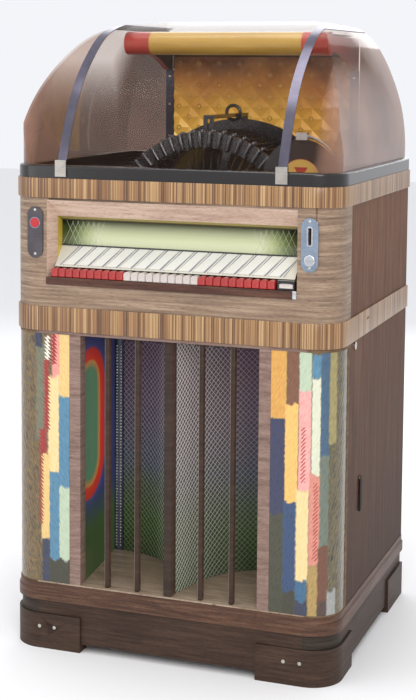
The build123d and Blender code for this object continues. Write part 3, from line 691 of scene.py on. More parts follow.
# Painted shade: a darker copy of the plate chrome, used for the left plate.
plate_chrome_shaded = metal("plate_chrome_shaded", (96, 92, 96), 0.34, 0.1)
red_lens = flat_paint("red_lens", (190, 24, 30), 0.15, 0.08, 0.6)
PLATE_X = 0.313
LENS_Z = 0.961


def plate_finish(c, n):
    if c.x > 0:
        return 0
    # The left plate gets the darker painted-shade chrome round its lens.
    return 1 if off_axis(c, -PLATE_X, LENS_Z) < 11.5 else 2


copy_part("coin_plates", "escutcheons", "cabinet", [plate_chrome, red_lens, plate_chrome_shaded],
          plate_finish, 0.0007)
plain_copy("return_knob", "coin_return_button", "coin_return_button", [chrome])


def lathe(rings, count, centre, axis="Y"):
    """Points and faces of a turned form: rings of (radius, height) about an axis."""
    points = []
    for radius, height in rings:
        for j in range(count):
            a = 2 * math.pi * j / count
            u, v = radius * math.cos(a), radius * math.sin(a)
            offset = {"Y": (u, height, v), "X": (height, u, v), "Z": (u, v, height)}[axis]
            points.append(tuple(c + o for c, o in zip(centre, offset)))
    return points, ring_faces(len(rings), count)


def repeat(name, spots, form, body, finish, crease=35):
    """Many small like parts: one form set at every spot by a node group, then made one plain mesh."""
    seed = bpy.data.meshes.new(name + "_form")
    seed.from_pydata(form[0], [], form[1])
    turn_out(seed)
    pattern = bpy.data.objects.new(name + "_form", seed)
    marks = bpy.data.meshes.new(name)
    marks.from_pydata([spot[:3] for spot in spots], [], [])
    turns = marks.attributes.new("turn", "FLOAT_VECTOR", "POINT")
    for i, spot in enumerate(spots):
        turns.data[i].vector = spot[3] if len(spot) > 3 else (0, 0, 0)
    group = bpy.data.node_groups.new(name + "_nodes", "GeometryNodeTree")
    ports = group.interface
    ports.new_socket("Spots", in_out="INPUT", socket_type="NodeSocketGeometry")
    part_key = ports.new_socket("Part", in_out="INPUT", socket_type="NodeSocketObject").identifier
    finish_key = ports.new_socket("Finish", in_out="INPUT", socket_type="NodeSocketMaterial").identifier
    ports.new_socket("Parts", in_out="OUTPUT", socket_type="NodeSocketGeometry")
    given = group.nodes.new("NodeGroupInput")
    info = group.nodes.new("GeometryNodeObjectInfo")
    turn_in = group.nodes.new("GeometryNodeInputNamedAttribute")
    turn_in.data_type = "FLOAT_VECTOR"
    turn_in.inputs["Name"].default_value = "turn"
    place = group.nodes.new("GeometryNodeInstanceOnPoints")
    real = group.nodes.new("GeometryNodeRealizeInstances")
    paint = group.nodes.new("GeometryNodeSetMaterial")
    out = group.nodes.new("NodeGroupOutput")
    links = [(given, "Spots", place, "Points"), (given, "Part", info, "Object"),
             (info, "Geometry", place, "Instance"), (turn_in, "Attribute", place, "Rotation"),
             (place, "Instances", real, "Geometry"), (real, "Geometry", paint, "Geometry"),
             (given, "Finish", paint, "Material"), (paint, "Geometry", out, "Parts")]
    for source, gives, target, takes in links:
        group.links.new(source.outputs[gives], target.inputs[takes])
    carrier = bpy.data.objects.new(name + "_spots", marks)
    bpy.context.scene.collection.objects.link(carrier)
    modifier = carrier.modifiers.new("repeat", "NODES")
    modifier.node_group = group
    modifier[part_key] = pattern
    modifier[finish_key] = finish.material
    bpy.context.view_layer.update()
    made = bpy.data.meshes.new_from_object(carrier.evaluated_get(bpy.context.evaluated_depsgraph_get()))
    bpy.data.objects.remove(carrier)
    bpy.data.objects.remove(pattern)
    return dress(name, made, body, [finish], crease=crease)


def screw_form(radius, rise):
    """A slotted round head facing the front."""
    rings = [(radius, 0), (radius, -rise * 0.4), (radius * 0.8, -rise * 0.85), (radius * 0.45, -rise)]
    return lathe(rings, 14, (0, 0, 0))


def ring_form(big, small, around, across):
    """A small ring that faces the front."""
    points, faces = [], []
    for i in range(around):
        a = 2 * math.pi * i / around
        for j in range(across):
            b = 2 * math.pi * j / across
            r = big + small * math.cos(b)
            points.append((r * math.cos(a), small * math.sin(b), r * math.sin(a)))
            faces.append((i * across + j, ((i + 1) % around) * across + j,
                          ((i + 1) % around) * across + (j + 1) % across, i * across + (j + 1) % across))
    return points, faces


def plate_rings():
    """A bright raised frame round the coin slot and a bright ring round the signal lens."""
    points, faces = [], []
    steps = 24
    for grow, y in ((0.0002, -0.3236), (0.0010, -0.3247), (0.0028, -0.3247), (0.0036, -0.3236)):
        for i in range(steps):
            a = 2 * math.pi * (i + 0.5) / steps
            dx = math.copysign(0.003, math.cos(a)) + grow * math.cos(a)
            dz = math.copysign(0.017, math.sin(a)) + grow * math.sin(a)
            points.append((PLATE_X + dx, y, 0.958 + dz))
    for i in range(3):
        for j in range(steps):
            k = (j + 1) % steps
            faces.append((i * steps + j, i * steps + k, (i + 1) * steps + k, (i + 1) * steps + j))
    build("slot_frame", points, faces, "cabinet", [chrome])
    lens_spot = (-PLATE_X, -0.3237, LENS_Z)
    repeat("lens_ring", [lens_spot], ring_form(0.0118, 0.0010, 28, 6), "cabinet", plate_chrome)


plate_rings()
plate_spots = [(x, -0.3235, z) for x in (-PLATE_X, PLATE_X) for z in (0.8925, 0.9895)]
repeat("plate_screws", plate_spots, screw_form(0.003, 0.0012), "cabinet", screw_steel)


# ---- Coin works, amplifier and speaker ----------------------------------------
# Folded steel coin works behind the right plate; the amplifier chassis with its cans and valves on the
# cabinet floor; a paper-cone loudspeaker on the inner board.

works_steel = metal("works_steel", (176, 178, 176), 0.4)
chassis_grey = flat_paint("chassis_grey", (120, 122, 118), 0.45, 0.08)
can_metal = metal("can_metal", (178, 176, 168), 0.38)
cone_paper = flat_paint("cone_paper", (46, 42, 38), 0.85, 0.1)
basket_metal = metal("basket_metal", (140, 140, 138), 0.45)
copy_part("coin_works", "coin_unit", "cabinet", [works_steel], None, 0.0004)
copy_part("amplifier_chassis", "amplifier", "cabinet", [chassis_grey, can_metal],
          lambda c, n: 1 if c.z > 205 else 0, 0.0006)
plain_copy("loudspeaker", "speaker", "cabinet", [cone_paper, basket_metal],
          lambda c, n: 1 if c.y > 20 or off_axis(c, 0, 0.400) > 139 else 0)


# ---- Record changer -----------------------------------------------------------
# A cast frame across the deck holds the record drum, its toothed rings and sixty thin ribs, all black and
# glossy, with the records standing between the ribs. Each record has a plain paper label.

frame_black = flat_paint("frame_black", (30, 30, 33), 0.38, 0.08, 0.2)
deck_black = flat_paint("deck_black", (20, 18, 20), 0.2, 0.05, 0.6)
cast_grey = metal("cast_grey", (120, 122, 126), 0.4)
drum_black = flat_paint("drum_black", (26, 28, 32), 0.26, 0.08, 0.4)
WHEEL_Z = 0.919
TABLE_X = 0.238
TABLE_Z = 1.062
RECORDS = 60


def vinyl(name, centre_radius):
    """Black record with fine grooves and a paper label, laid out from each record's own middle."""
    disc = Finish(name, {"Specular IOR Level": 0.6})
    x, y, z = disc.split(disc.place())
    if centre_radius:
        out = (x * x + (z - WHEEL_Z) * (z - WHEEL_Z)).power(0.5) - centre_radius
        away = (out * out + (y - 0.030) * (y - 0.030)).power(0.5)
    else:
        away = ((x - TABLE_X) * (x - TABLE_X) + (z - TABLE_Z) * (z - TABLE_Z)).power(0.5)
    label = away.below(0.0445)
    sheen = disc.noise(disc.node("CombineXYZ", {}, {0: away * 900.0}), 1.0, 2.0)
    black = disc.ramp(sheen, [(0.3, (16, 16, 18)), (0.7, (34, 34, 38))])
    paper = disc.ramp(away, [(0.0, (222, 190, 96)), (0.040, (214, 178, 84)),
                             (0.0415, (150, 60, 40)), (0.043, (214, 178, 84))], "CONSTANT")
    if not centre_radius:
        wedge = ((z - TABLE_Z) * 0.6 - (x - TABLE_X).size()).above(0.0) * z.below(TABLE_Z + 0.026)
        paper = disc.blend(wedge, paper, (176, 44, 32))
    disc.feed({"Base Color": disc.blend(label, black, paper)})
    disc.feed({"Roughness": label * 0.35 + sheen * 0.12 + 0.16})
    groove = (away * 5200.0).wave()
    disc.feed({"Normal": disc.relief(groove * (label * -1.0 + 1.0), 0.00012, 0.5)})
    return disc


record_vinyl = vinyl("record_vinyl", 0.150)
playing_vinyl = vinyl("playing_vinyl", 0.0)
copy_part("deck", "mechanism_deck", "cabinet", [deck_black], None, 0.0008)
copy_part("changer_frame", "mechanism_frame", "cabinet", [frame_black, cast_grey],
          lambda c, n: 1 if abs(c.x) < 60 and 880 < c.z < 960 else 0, 0.0012)
plain_copy("record_drum", "magazine_wheel", "magazine", [drum_black, cast_grey],
          lambda c, n: 1 if off_axis(c, 0, WHEEL_Z) < 40 else 0)
plain_copy("record_store", "records", "magazine", [record_vinyl])


rib_black = flat_paint("rib_black", (34, 33, 38), 0.14, 0.05, 1.0)


def capsule(length, thick, around, axis="X"):
    """A long rounded bar from the middle outward."""
    rings = []
    for i in range(5):
        a = math.pi / 2 * (1 - i / 4)
        rings.append((max(thick * math.cos(a), 0.0003), -length / 2 + thick - thick * math.sin(a)))
    return lathe(rings + [(r, -h) for r, h in reversed(rings)], around, (0, 0, 0), axis)


def drum_ribs():
    """Rounded bars over the front ring and short rounded ones on the rim behind, one per gap."""
    front, rim = [], []
    for i in range(RECORDS):
        a = 2 * math.pi * (i + 0.5) / RECORDS
        turn = (0, -a, 0)
        front.append((0.2215 * math.cos(a), -0.0975, WHEEL_Z + 0.2215 * math.sin(a), turn))
        for y in (-0.080, -0.066):
            rim.append((0.2385 * math.cos(a), y, WHEEL_Z + 0.2385 * math.sin(a), turn))
    repeat("front_ribs", front, capsule(0.040, 0.0056, 12), "magazine", rib_black, 60)
    repeat("rim_beads", rim, capsule(0.014, 0.0052, 12), "magazine", rib_black, 60)


drum_ribs()

platter_metal = metal("platter_metal", (150, 150, 152), 0.34)
plain_copy("platter", "turntable", "turntable", [platter_metal, playing_vinyl],
          lambda c, n: 1 if c.y < -137 or off_axis(c, TABLE_X, TABLE_Z) > 62.5 else 0)
arm_metal = metal("arm_metal", (206, 206, 204), 0.24)
plain_copy("pickup_arm", "tone_arm", "tone_arm", [arm_metal, frame_black],
          lambda c, n: 1 if c.y > -140 and off_axis(c, TABLE_X, TABLE_Z) > 110 else 0)
bow_black = flat_paint("bow_black", (24, 24, 27), 0.25, 0.05, 0.4)
plain_copy("carrier_bow", "gripper_arm", "gripper_arm", [bow_black, cast_grey],
          lambda c, n: 1 if c.z < 960 else 0)


# ---- Rear door and latch ------------------------------------------------------
# A plywood rear door with rows of vent slots and a round lock, and the black latch lever on the right
# side that holds the front door.

rear_ply = veneer("rear_ply", (96, 70, 48), (124, 94, 66), (150, 118, 86), (2, 2, 14), 0.65, 0.0)
latch_black = flat_paint("latch_black", (18, 17, 18), 0.6, 0.06, 0.0)
latch_black.shader.inputs["Specular IOR Level"].default_value = 0.1


def rear_finish(c, n):
    lock = abs(c.x - 300) < 11 and 590 < c.z < 611
    return 1 if c.y > 321.2 or c.x < -334 or lock else 0


copy_part("back_door", "rear_door", "rear_door", [rear_ply, hinge_steel], rear_finish, 0.001)
copy_part("latch_lever", "door_latch", "door_latch", [latch_black, screw_steel],
          lambda c, n: 1 if c.z > 404 else 0, 0.001)


# ---- Lid rim and straps -------------------------------------------------------
# The black lacquered lid frame, and two bent metal straps that hold the dome. Each strap ends in a
# plated clip on the rim with one screw.

rim_black = flat_paint("rim_black", (20, 15, 14), 0.2, 0.05, 0.25)
copy_part("lid_frame", "lid_rim", "lid", [rim_black, hinge_steel],
          lambda c, n: 1 if c.y > 321.2 else 0)
strap_metal = metal("strap_metal", (112, 108, 122), 0.24, 0.08)
clip_metal = metal("clip_metal", (196, 190, 180), 0.24, 0.08)
plain_copy("straps", "dome_straps", "lid", [strap_metal, clip_metal],
           lambda c, n: 1 if c.z < 1101 and c.y < -316 and abs(abs(c.x) - 251) < 13.5 else 0)


# ---- Dome ---------------------------------------------------------------------
# A blown clear acrylic cover in three pieces: a nearly clear middle and two ends in a pinkish brown
# smoked tint. All meet under the straps.

def acrylic(name, tint, body_colour, mist, rim_mist, edge_tint, shaded=0.0):
    """Clear plastic: a tinted see-through part, a glossy surface, and a haze that grows at grazing angles."""
    gloss = {"Roughness": 0.06, "Specular IOR Level": 0.6, "Coat Weight": 0.25, "Coat Roughness": 0.03}
    pane = Finish(name, gloss)
    at = pane.place()
    cloud = pane.noise(at, 5.0, 3.0)
    pane.feed({"Base Color": pane.ramp(cloud, [(0.35, body_colour), (0.68, edge_tint)])})
    rim = pane.node("LayerWeight", {}, {"Blend": 0.38}, 1)
    x, y, _ = pane.split(at)
    amount = rim.power(3.0) * rim_mist + mist + 0.02
    if shaded:
        side = ((x.size() - 0.315) * 22.0).capped()
        rear = ((y - 0.10) * 7.0).capped()
        amount = amount + side.math("MAXIMUM", rear) * shaded
    through = pane.node("BsdfTransparent", {}, {"Color": tint})
    surface = Wire(pane, pane.shader.outputs[0])
    joined = pane.node("MixShader", {}, {0: amount.capped(), 1: through, 2: surface})
    pane.tree.links.new(joined.socket, pane.tree.nodes["Material Output"].inputs["Surface"])
    return pane


clear_pane = acrylic("clear_pane", (0.97, 0.96, 0.95, 1), (120, 98, 86), 0.0, 0.14, (146, 122, 110))
smoked_pane = acrylic("smoked_pane", (0.93, 0.88, 0.85, 1), (112, 76, 58), 0.02, 0.2, (156, 118, 98), 0.66)
plain_copy("dome", "dome_glass", "lid", [clear_pane, smoked_pane],
           lambda c, n: 1 if abs(c.x) > 251 else 0)


# ---- Backdrop panel -----------------------------------------------------------
# A gold plastic panel of four-sided pyramids with a small ring on each point, between two blue-grey
# metal trims held by three bright screws each.

PITCH = 0.05374
PANEL = (-0.2308, 0.2308, 1.0884, 1.3299)
CORNER_WAYS = ((-1, 0), (0, -1), (1, 0), (0, 1))

backdrop_gold = Finish("backdrop_gold", {"Coat Weight": 0.5, "Coat Roughness": 0.15, "Metallic": 0.1})
_, _, bz = backdrop_gold.split(backdrop_gold.place())
shade = backdrop_gold.noise(backdrop_gold.place(), 14.0, 4.0)
# Painted shadow: the gold darkens to brown toward the panel's top, under the lamp.
lamp_shadow_mix = ((bz - 1.09) * 3.6 + shade * 0.35).capped()
gold_into_lamp_shadow = [(0.0, (244, 204, 96)), (0.5, (232, 182, 80)), (0.8, (190, 128, 62)), (1.0, (110, 68, 40))]
gold_shown = backdrop_gold.ramp(lamp_shadow_mix, gold_into_lamp_shadow)
backdrop_gold.feed({"Base Color": gold_shown, "Emission Color": gold_shown, "Roughness": shade * 0.25 + 0.22})
# Painted glow: the panel gives off its own gold light though it is no lamp.
backdrop_gold.shader.inputs["Emission Strength"].default_value = 0.24
backdrop_gold.feed({"Normal": backdrop_gold.relief(shade, 0.0004, 0.3)})
ring_gold = metal("ring_gold", (206, 160, 84), 0.28)
trim_blue = metal("trim_blue", (84, 88, 104), 0.34, 0.1, 0.8)


def diamond_spots():
    """The middles of the pyramids, in staggered rows."""
    spots = []
    for i in range(-9, 10):
        for j in range(-5, 6):
            if (i + j) % 2 == 0:
                spots.append((i * PITCH / 2, 1.205 + j * PITCH / 2))
    return spots


def pyramids():
    """Blunt pyramids cut off square at the panel's edges, on a thin board."""
    form = bmesh.new()
    for x, z in diamond_spots():
        corners, flat = [], []
        for ring, share, y in ((corners, 2, 0.3082), (flat, 9, 0.3010)):
            for dx, dz in CORNER_WAYS:
                ring.append(form.verts.new((x + dx * PITCH / share, y, z + dz * PITCH / share)))
        for k in range(4):
            form.faces.new((corners[k], corners[(k + 1) % 4], flat[(k + 1) % 4], flat[k]))
        form.faces.new(flat)
    x0, x1, z0, z1 = PANEL
    for x, z, dx, dz in ((x0, 0, -1, 0), (x1, 0, 1, 0), (0, z0, 0, -1), (0, z1, 0, 1)):
        geometry = form.verts[:] + form.edges[:] + form.faces[:]
        bmesh.ops.bisect_plane(form, geom=geometry, plane_co=(x, 0, z), plane_no=(dx, 0, dz), clear_outer=True)
    outline = ((x0, z0), (x1, z0), (x1, z1), (x0, z1))
    box = [form.verts.new((x, y, z)) for y in (0.3085, 0.3100) for x, z in outline]
    form.faces.new((box[7], box[6], box[5], box[4]))
    for k in range(4):
        m = (k + 1) % 4
        form.faces.new((box[k], box[k + 4], box[m + 4], box[m]))
    form.faces.new(box[:4])
    bmesh.ops.recalc_face_normals(form, faces=form.faces)
    mesh = bpy.data.meshes.new("backdrop_points")
    form.to_mesh(mesh)
    form.free()
    dress("backdrop_points", mesh, "lid", [backdrop_gold], crease=20)


pyramids()
inside = [(x, 0.3008, z) for x, z in diamond_spots() if abs(x) < 0.222 and 1.097 < z < 1.322]
repeat("backdrop_rings", inside, ring_form(0.0052, 0.0009, 16, 6), "lid", ring_gold)
copy_part("backdrop_trims", "backdrop_panel", "lid", [trim_blue, screw_steel],
          lambda c, n: 1 if c.y < 301.9 else 0,
          keep=lambda c: abs(c.x) > 231.5 or (c.y > 310.3 and 149 < abs(c.x) < 191))


board_dark = flat_paint("board_dark", (58, 36, 26), 0.6, 0.08)


def header_board():
    """A dark board behind the panel's top edge: painted shadow that fills the space under the lamp."""
    x, z0, z1, y0, y1 = 0.2355, 1.2978, 1.3750, 0.3102, 0.3112
    points = [(sx * x, y, z) for y in (y0, y1) for sx, z in ((-1, z0), (1, z0), (1, z1), (-1, z1))]
    points += [(0, y0 - 0.0004, z0 + 0.002), (0, y0 - 0.0004, z1 - 0.002)]
    faces = [(0, 1, 8), (1, 2, 9, 8), (2, 3, 9), (3, 0, 8, 9), (7, 6, 5, 4)]
    faces += [(0, 4, 5, 1), (1, 5, 6, 2), (2, 6, 7, 3), (3, 7, 4, 0)]
    build("header_board", points, faces, "lid", [board_dark])


header_board()


# ---- Canopy lamp --------------------------------------------------------------
# A frosted yellow light tube with brick-red end caps on two shaped red arms, under a thin top board.

tube_yellow = Finish("tube_yellow", {"Coat Weight": 0.5, "Coat Roughness": 0.08, "Roughness": 0.3})
_, _, tz = tube_yellow.split(tube_yellow.place())
glow = tube_yellow.noise(tube_yellow.scaled(tube_yellow.place(), (1.5, 8, 8)), 6.0, 3.0)
tube_run = [(0.25, (150, 114, 42)), (0.5, (174, 138, 56)), (0.75, (190, 156, 78))]
# Painted shade: the tube's colour darkens toward its underside.
tube_yellow.feed({"Base Color": tube_yellow.ramp(glow * 0.5 + (tz - 1.332) * 8.0 + 0.05, tube_run)})
tube_yellow.feed({"Emission Color": tube_yellow.ramp(glow, [(0.2, (190, 140, 40)), (0.8, (240, 200, 90))])})
tube_yellow.shader.inputs["Emission Strength"].default_value = 0.08
brick_red = flat_paint("brick_red", (178, 58, 46), 0.32, 0.06, 0.4)


def tube_finish(c, n):
    board_front = abs(c.y - 60) < 0.3 and abs(c.z - 1381.5) < 1
    if abs(c.x) < 236.5 and (c.y > 90 or board_front):
        return 2
    return 1 if abs(c.x) > 187.1 else 0


copy_part("light_tube", "canopy_lamp", "lid", [tube_yellow, brick_red, board_dark], tube_finish)


# ---- Front door frame ---------------------------------------------------------
# A tall door hung at its left edge: a walnut floor and dark upper boards joined by posts whose inner
# walls close the bay. Narrow wooden bars and a centre post stand in front of the screens.

post_walnut = veneer("post_walnut", (100, 78, 68), (128, 104, 94), (150, 126, 114), (1.6, 1.6, 22), 0.36, 0.3)
floor_walnut = veneer("floor_walnut", (132, 112, 94), (158, 138, 118), (180, 162, 142),
                      (1.2, 14, 1.2), 0.35, 0.3)
ceiling_brown = veneer("ceiling_brown", (74, 46, 38), (98, 66, 54), (122, 88, 72), (1.2, 14, 1.2), 0.4, 0.2)
# Painted light and shade: one bar wood in a dark copy and a lighter copy, with pale painted highlight lines on
# the dark one's edges.
bar_shaded_faces = veneer("bar_shaded_faces", (36, 26, 20), (50, 36, 28), (66, 50, 40), rough=0.34, coat=0.3)
bar_lit_faces = veneer("bar_lit_faces", (64, 44, 36), (86, 60, 48), (108, 80, 66), rough=0.34, coat=0.3)


def door_finish(c, n):
    if c.z < 154 and abs(c.x) < 240:
        return 1
    if c.z > 655 and abs(c.x) < 231 and c.y > -318:
        return 2
    if abs(c.x) < 233 and c.y < -230:
        return 0
    return 3


def lit_edges(wood, places):
    """A pale line of painted highlight along each edge that stands at one of these places across the front."""
    across, _, _ = wood.split(wood.place())
    lit = across * 0.0
    for place in places:
        lit = lit + (across - place).size().below(0.0011)
    given = Wire(wood, wood.shader.inputs["Base Color"].links[0].from_socket)
    wood.feed({"Base Color": wood.blend(lit.capped() * 0.6, given, (170, 150, 128))})


lit_edges(bar_shaded_faces, (-0.150, -0.079, 0.069, 0.140))
copy_part("door_boards", "door_frame", "front_door",
          [post_walnut, floor_walnut, ceiling_brown, plain_board], door_finish, 0.0008)
# Faces turned to the right, and the centre post's right half, get the lighter painted-light copy; the rest get
# the darker painted-shade copy.
copy_part("bars", "grille_bars", "front_door", [bar_shaded_faces, bar_lit_faces],
          lambda c, n: 1 if n.x > 0.5 or 0 < c.x < 20 else 0, 0.0014)


# ---- Pilasters ----------------------------------------------------------------
# Thin covers of rippled translucent plastic wrap both front corners of the door. Blocks of colour with
# wavy edges stand behind the ripples, and a lamp tube stands behind each cover.

COVER_FRONT = -0.3195
COVER_SIDE = 0.3755
COVER_R = 0.0655
COVER_EDGE = 0.2324
COVER_BACK = -0.2364
COVER_LOW, COVER_HIGH = 0.1537, 0.7156


def cover_spot(run, depth, side):
    """A point on the cover: run is the length from the post edge, depth goes inward."""
    flat = COVER_SIDE - COVER_R - COVER_EDGE
    if run < flat:
        x, y, nx, ny = COVER_EDGE + run, COVER_FRONT, 0.0, -1.0
    elif run < flat + COVER_R * math.pi / 2:
        a = (run - flat) / COVER_R
        x, y = COVER_SIDE - COVER_R + COVER_R * math.sin(a), COVER_FRONT + COVER_R - COVER_R * math.cos(a)
        nx, ny = math.sin(a), -math.cos(a)
    else:
        x, y, nx, ny = COVER_SIDE, COVER_FRONT + COVER_R + run - flat - COVER_R * math.pi / 2, 1.0, 0.0
    return side * (x - nx * depth), y - ny * depth


def ripple(run, z):
    """Depth of the ripples: slanting waves with a slower swell, zero at the highest."""
    slant = run * 0.9 - z * 0.32
    swell = math.sin(run * 40 + math.sin(z * 23) * 1.7)
    first = math.sin(slant * 700 + swell * 1.8 + math.sin(z * 90) * 0.8)
    second = math.sin(z * 170 + run * 90 + 1.3 * math.sin(run * 130))
    return 0.0004 * (1 - 0.6 * first - 0.4 * second)


def cover(name, side, finish):
    """One cover: a rippled outer skin, a smooth inner skin and closed edges."""
    length = COVER_SIDE - COVER_R - COVER_EDGE + COVER_R * math.pi / 2 + COVER_BACK - COVER_FRONT - COVER_R
    across, up = 84, 220
    points, faces, runs = [], [], []
    for skin in (0, 1):
        for i in range(across + 1):
            run = length * i / across
            for j in range(up + 1):
                z = COVER_LOW + (COVER_HIGH - COVER_LOW) * j / up
                hem = min(1.0, i / 2, (across - i) / 2, j / 2, (up - j) / 2)
                depth = 0.0034 if skin else ripple(run, z) * hem + 0.0004 * (1 - hem)
                x, y = cover_spot(run, depth, side)
                points.append((x, y, z))
                runs.append((run * 1000, z * 1000))
    row = up + 1
    sheet = (across + 1) * row
    for skin in (0, 1):
        base = skin * sheet
        for i in range(across):
            for j in range(up):
                a, b = base + i * row + j, base + (i + 1) * row + j
                faces.append((a, b, b + 1, a + 1))
    rim = [i * row for i in range(across + 1)] + [across * row + j for j in range(1, up + 1)]
    rim += [i * row + up for i in range(across - 1, -1, -1)] + [j for j in range(up - 1, 0, -1)]
    for a, b in zip(rim, rim[1:] + rim[:1]):
        faces.append((a, a + sheet, b + sheet, b))
    piece = build(name, points, faces, "front_door", [finish], crease=60)
    layer = piece.data.uv_layers.new(name="run")
    for loop in piece.data.loops:
        layer.data[loop.index].uv = runs[loop.vertex_index]
    turn_out(piece.data)


def stepped_colours(name, ground, blocks):
    """Blocks of colour (from, to, low, high, soft, colour) in mm along the cover, their edges waved."""
    paint = Finish(name, {"Coat Weight": 0.5, "Coat Roughness": 0.1, "Roughness": 0.28})
    run, z, _ = paint.split(paint.run())
    tooth = (z / -8.5 + run / 26.0).part() * 9.0 - 4.5
    wobble = (paint.noise(paint.run(), 0.09, 2.0) - 0.5) * 6.0
    plain_u = run + wobble
    toothed_u = run + wobble + tooth
    w = z + (paint.noise(paint.run(), 0.07, 2.0) - 0.5) * 18.0 + (run / 5.0).wave() * 2.0
    # The ground's diagonal strokes are partly the plastic's own mottling and partly painted light and shade
    # along the ripples.
    sheared = paint.node("CombineXYZ", {}, {0: run * 0.30 - z * 0.11, 1: z * 0.045})
    stroke = paint.noise(sheared, 1.0, 2.0)
    colour = paint.ramp(stroke * 0.75 + paint.noise(paint.run(), 0.03, 3.0) * 0.25, ground)
    for start, end, low, high, soft, shade in blocks:
        u = toothed_u if soft < 2.1 else plain_u
        sides = (u - (start - soft * 0.6)).math("MINIMUM", (end + soft * 0.6) - u) / soft
        ends = (w - (low - soft)).math("MINIMUM", (high + soft) - w) / (soft * 1.6)
        mask = sides.math("MINIMUM", ends).capped()
        colour = paint.blend(mask, colour, shade)
    # Painted highlight and shade: light and dark diagonal streaks laid over the colours along the ripples.
    fine = paint.node("CombineXYZ", {}, {0: run * 0.42 - z * 0.16, 1: z * 0.07, 2: 5.0})
    streak = paint.noise(fine, 1.0, 2.0)
    painted_ripple_light = paint.ramp(streak, [(0.36, (66, 62, 58)), (0.5, (112, 110, 106)), (0.62, (142, 140, 136))])
    colour = paint.blend(0.5, colour, painted_ripple_light, "OVERLAY")
    paint.feed({"Base Color": colour, "Roughness": streak * 0.2 + 0.2})
    return paint


left_ground = [(0.34, (52, 40, 26)), (0.43, (96, 76, 46)), (0.51, (150, 120, 66)),
               (0.57, (84, 76, 56)), (0.68, (120, 112, 90))]
right_ground = [(0.34, (48, 44, 32)), (0.43, (88, 78, 52)), (0.51, (136, 122, 80)),
                (0.57, (76, 72, 56)), (0.68, (140, 136, 122))]
cream, butter, pink = (232, 214, 170), (226, 204, 142), (230, 172, 158)
blue, navy, mint = (88, 146, 180), (50, 58, 84), (198, 208, 192)
teal, moss, brick = (128, 128, 104), (62, 60, 38), (122, 72, 48)
red_flame = (176, 40, 32)

left_blocks = [
    (-20, 25, 575, 740, 3, butter), (25, 42, 618, 740, 4, pink), (25, 52, 400, 620, 5, cream),
    (-20, 25, 371, 577, 2.5, blue), (-20, 26, 206, 373, 4, mint), (56, 80, 478, 690, 8, teal),
    (66, 84, 686, 740, 3, navy), (48, 68, 249, 446, 4, butter), (25, 48, 206, 405, 2.5, blue),
    (48, 66, 130, 251, 3, navy), (-20, 48, 130, 206, 3, moss), (33, 43, 650, 740, 2, red_flame),
    (50, 61, 500, 656, 2, red_flame), (56, 72, 444, 502, 2, red_flame),
    (66, 71, 288, 448, 1.5, red_flame), (49, 57, 656, 708, 1.5, (236, 232, 222))]
right_blocks = [
    (-20, 34, 571, 740, 3, (216, 178, 84)), (35, 61, 600, 740, 3, (134, 86, 56)),
    (62, 88, 633, 740, 3, mint), (62, 88, 423, 635, 3, (232, 188, 182)),
    (90, 108, 665, 710, 2.5, blue), (90, 108, 457, 663, 3, (218, 220, 204)),
    (109, 128, 494, 716, 3, (66, 104, 134)), (109, 128, 303, 496, 4, (118, 130, 116)),
    (128, 146, 526, 740, 4, (176, 162, 104)), (32, 60, 395, 603, 3, (236, 200, 116)),
    (-20, 31, 365, 571, 3, (48, 54, 92)), (-20, 30, 130, 365, 3, (68, 68, 46)),
    (30, 58, 200, 395, 3, (44, 76, 120)), (30, 58, 130, 201, 3, moss), (58, 85, 228, 423, 4, cream),
    (86, 108, 262, 457, 4, (216, 156, 136)), (86, 108, 130, 262, 4, (190, 160, 92)),
    (58, 82, 183, 228, 2.5, (60, 112, 150)), (58, 84, 130, 183, 3, navy), (106, 128, 183, 303, 3, brick),
    (106, 128, 130, 184, 3, (82, 58, 48)), (70, 74, 440, 560, 1.5, (190, 70, 60)),
    (98, 102, 275, 440, 1.5, (190, 74, 62)), (128, 150, 130, 205, 4, (176, 178, 176))]
cover("left_cover", -1, stepped_colours("left_colours", left_ground, left_blocks))
cover("right_cover", 1, stepped_colours("right_colours", right_ground, right_blocks))
copy_part("cover_lamps", "pilasters", "front_door", [lamp_white],
          keep=lambda c: abs(abs(c.x) - 300) < 16 and -277 < c.y < -247)


# ---- Screens ------------------------------------------------------------------
# Two curved plastic sheets meet behind the centre post under a lattice of diamond strands. The colour
# runs from violet at the top through blue to green at the foot, and pale grey beside the post.

SCREEN_LINE = [(0.010, -0.292), (0.030, -0.200), (0.062, -0.135), (0.110, -0.088), (0.160, -0.064),
               (0.214, -0.054)]
SCREEN_LOW, SCREEN_HIGH = 0.154, 0.712
SHEET_LOW = 0.1537
SHEET_STEPS = 44
STRAND_COLUMNS = 52


def smooth_line(marks, steps):
    """Evenly spaced points along a smooth curve through the marks, with the length at each."""
    fine = []
    padded = [marks[0]] + marks + [marks[-1]]
    for i in range(1, len(padded) - 2):
        p0, p1, p2, p3 = (Vector(padded[i + k]) for k in (-1, 0, 1, 2))
        for s in range(24):
            t = s / 24
            square = (2 * p0 - 5 * p1 + 4 * p2 - p3) * t * t
            cube = (3 * p1 - p0 - 3 * p2 + p3) * t ** 3
            fine.append(0.5 * (2 * p1 + (p2 - p0) * t + square + cube))
    fine.append(Vector(marks[-1]))
    lengths = run_along([tuple(p) for p in fine])
    total = lengths[-1]
    line = []
    k = 0
    for i in range(steps + 1):
        want = total * i / steps
        while k < len(fine) - 2 and lengths[k + 1] < want:
            k += 1
        share = (want - lengths[k]) / (lengths[k + 1] - lengths[k])
        line.append(fine[k].lerp(fine[k + 1], share))
    return line, total


def ceiling_above(y):
    """The bay ceiling falls from the front edge toward the back."""
    return 0.716 - 0.054 * max(0.0, min(1.0, (y + 0.292) / 0.247)) - 0.001


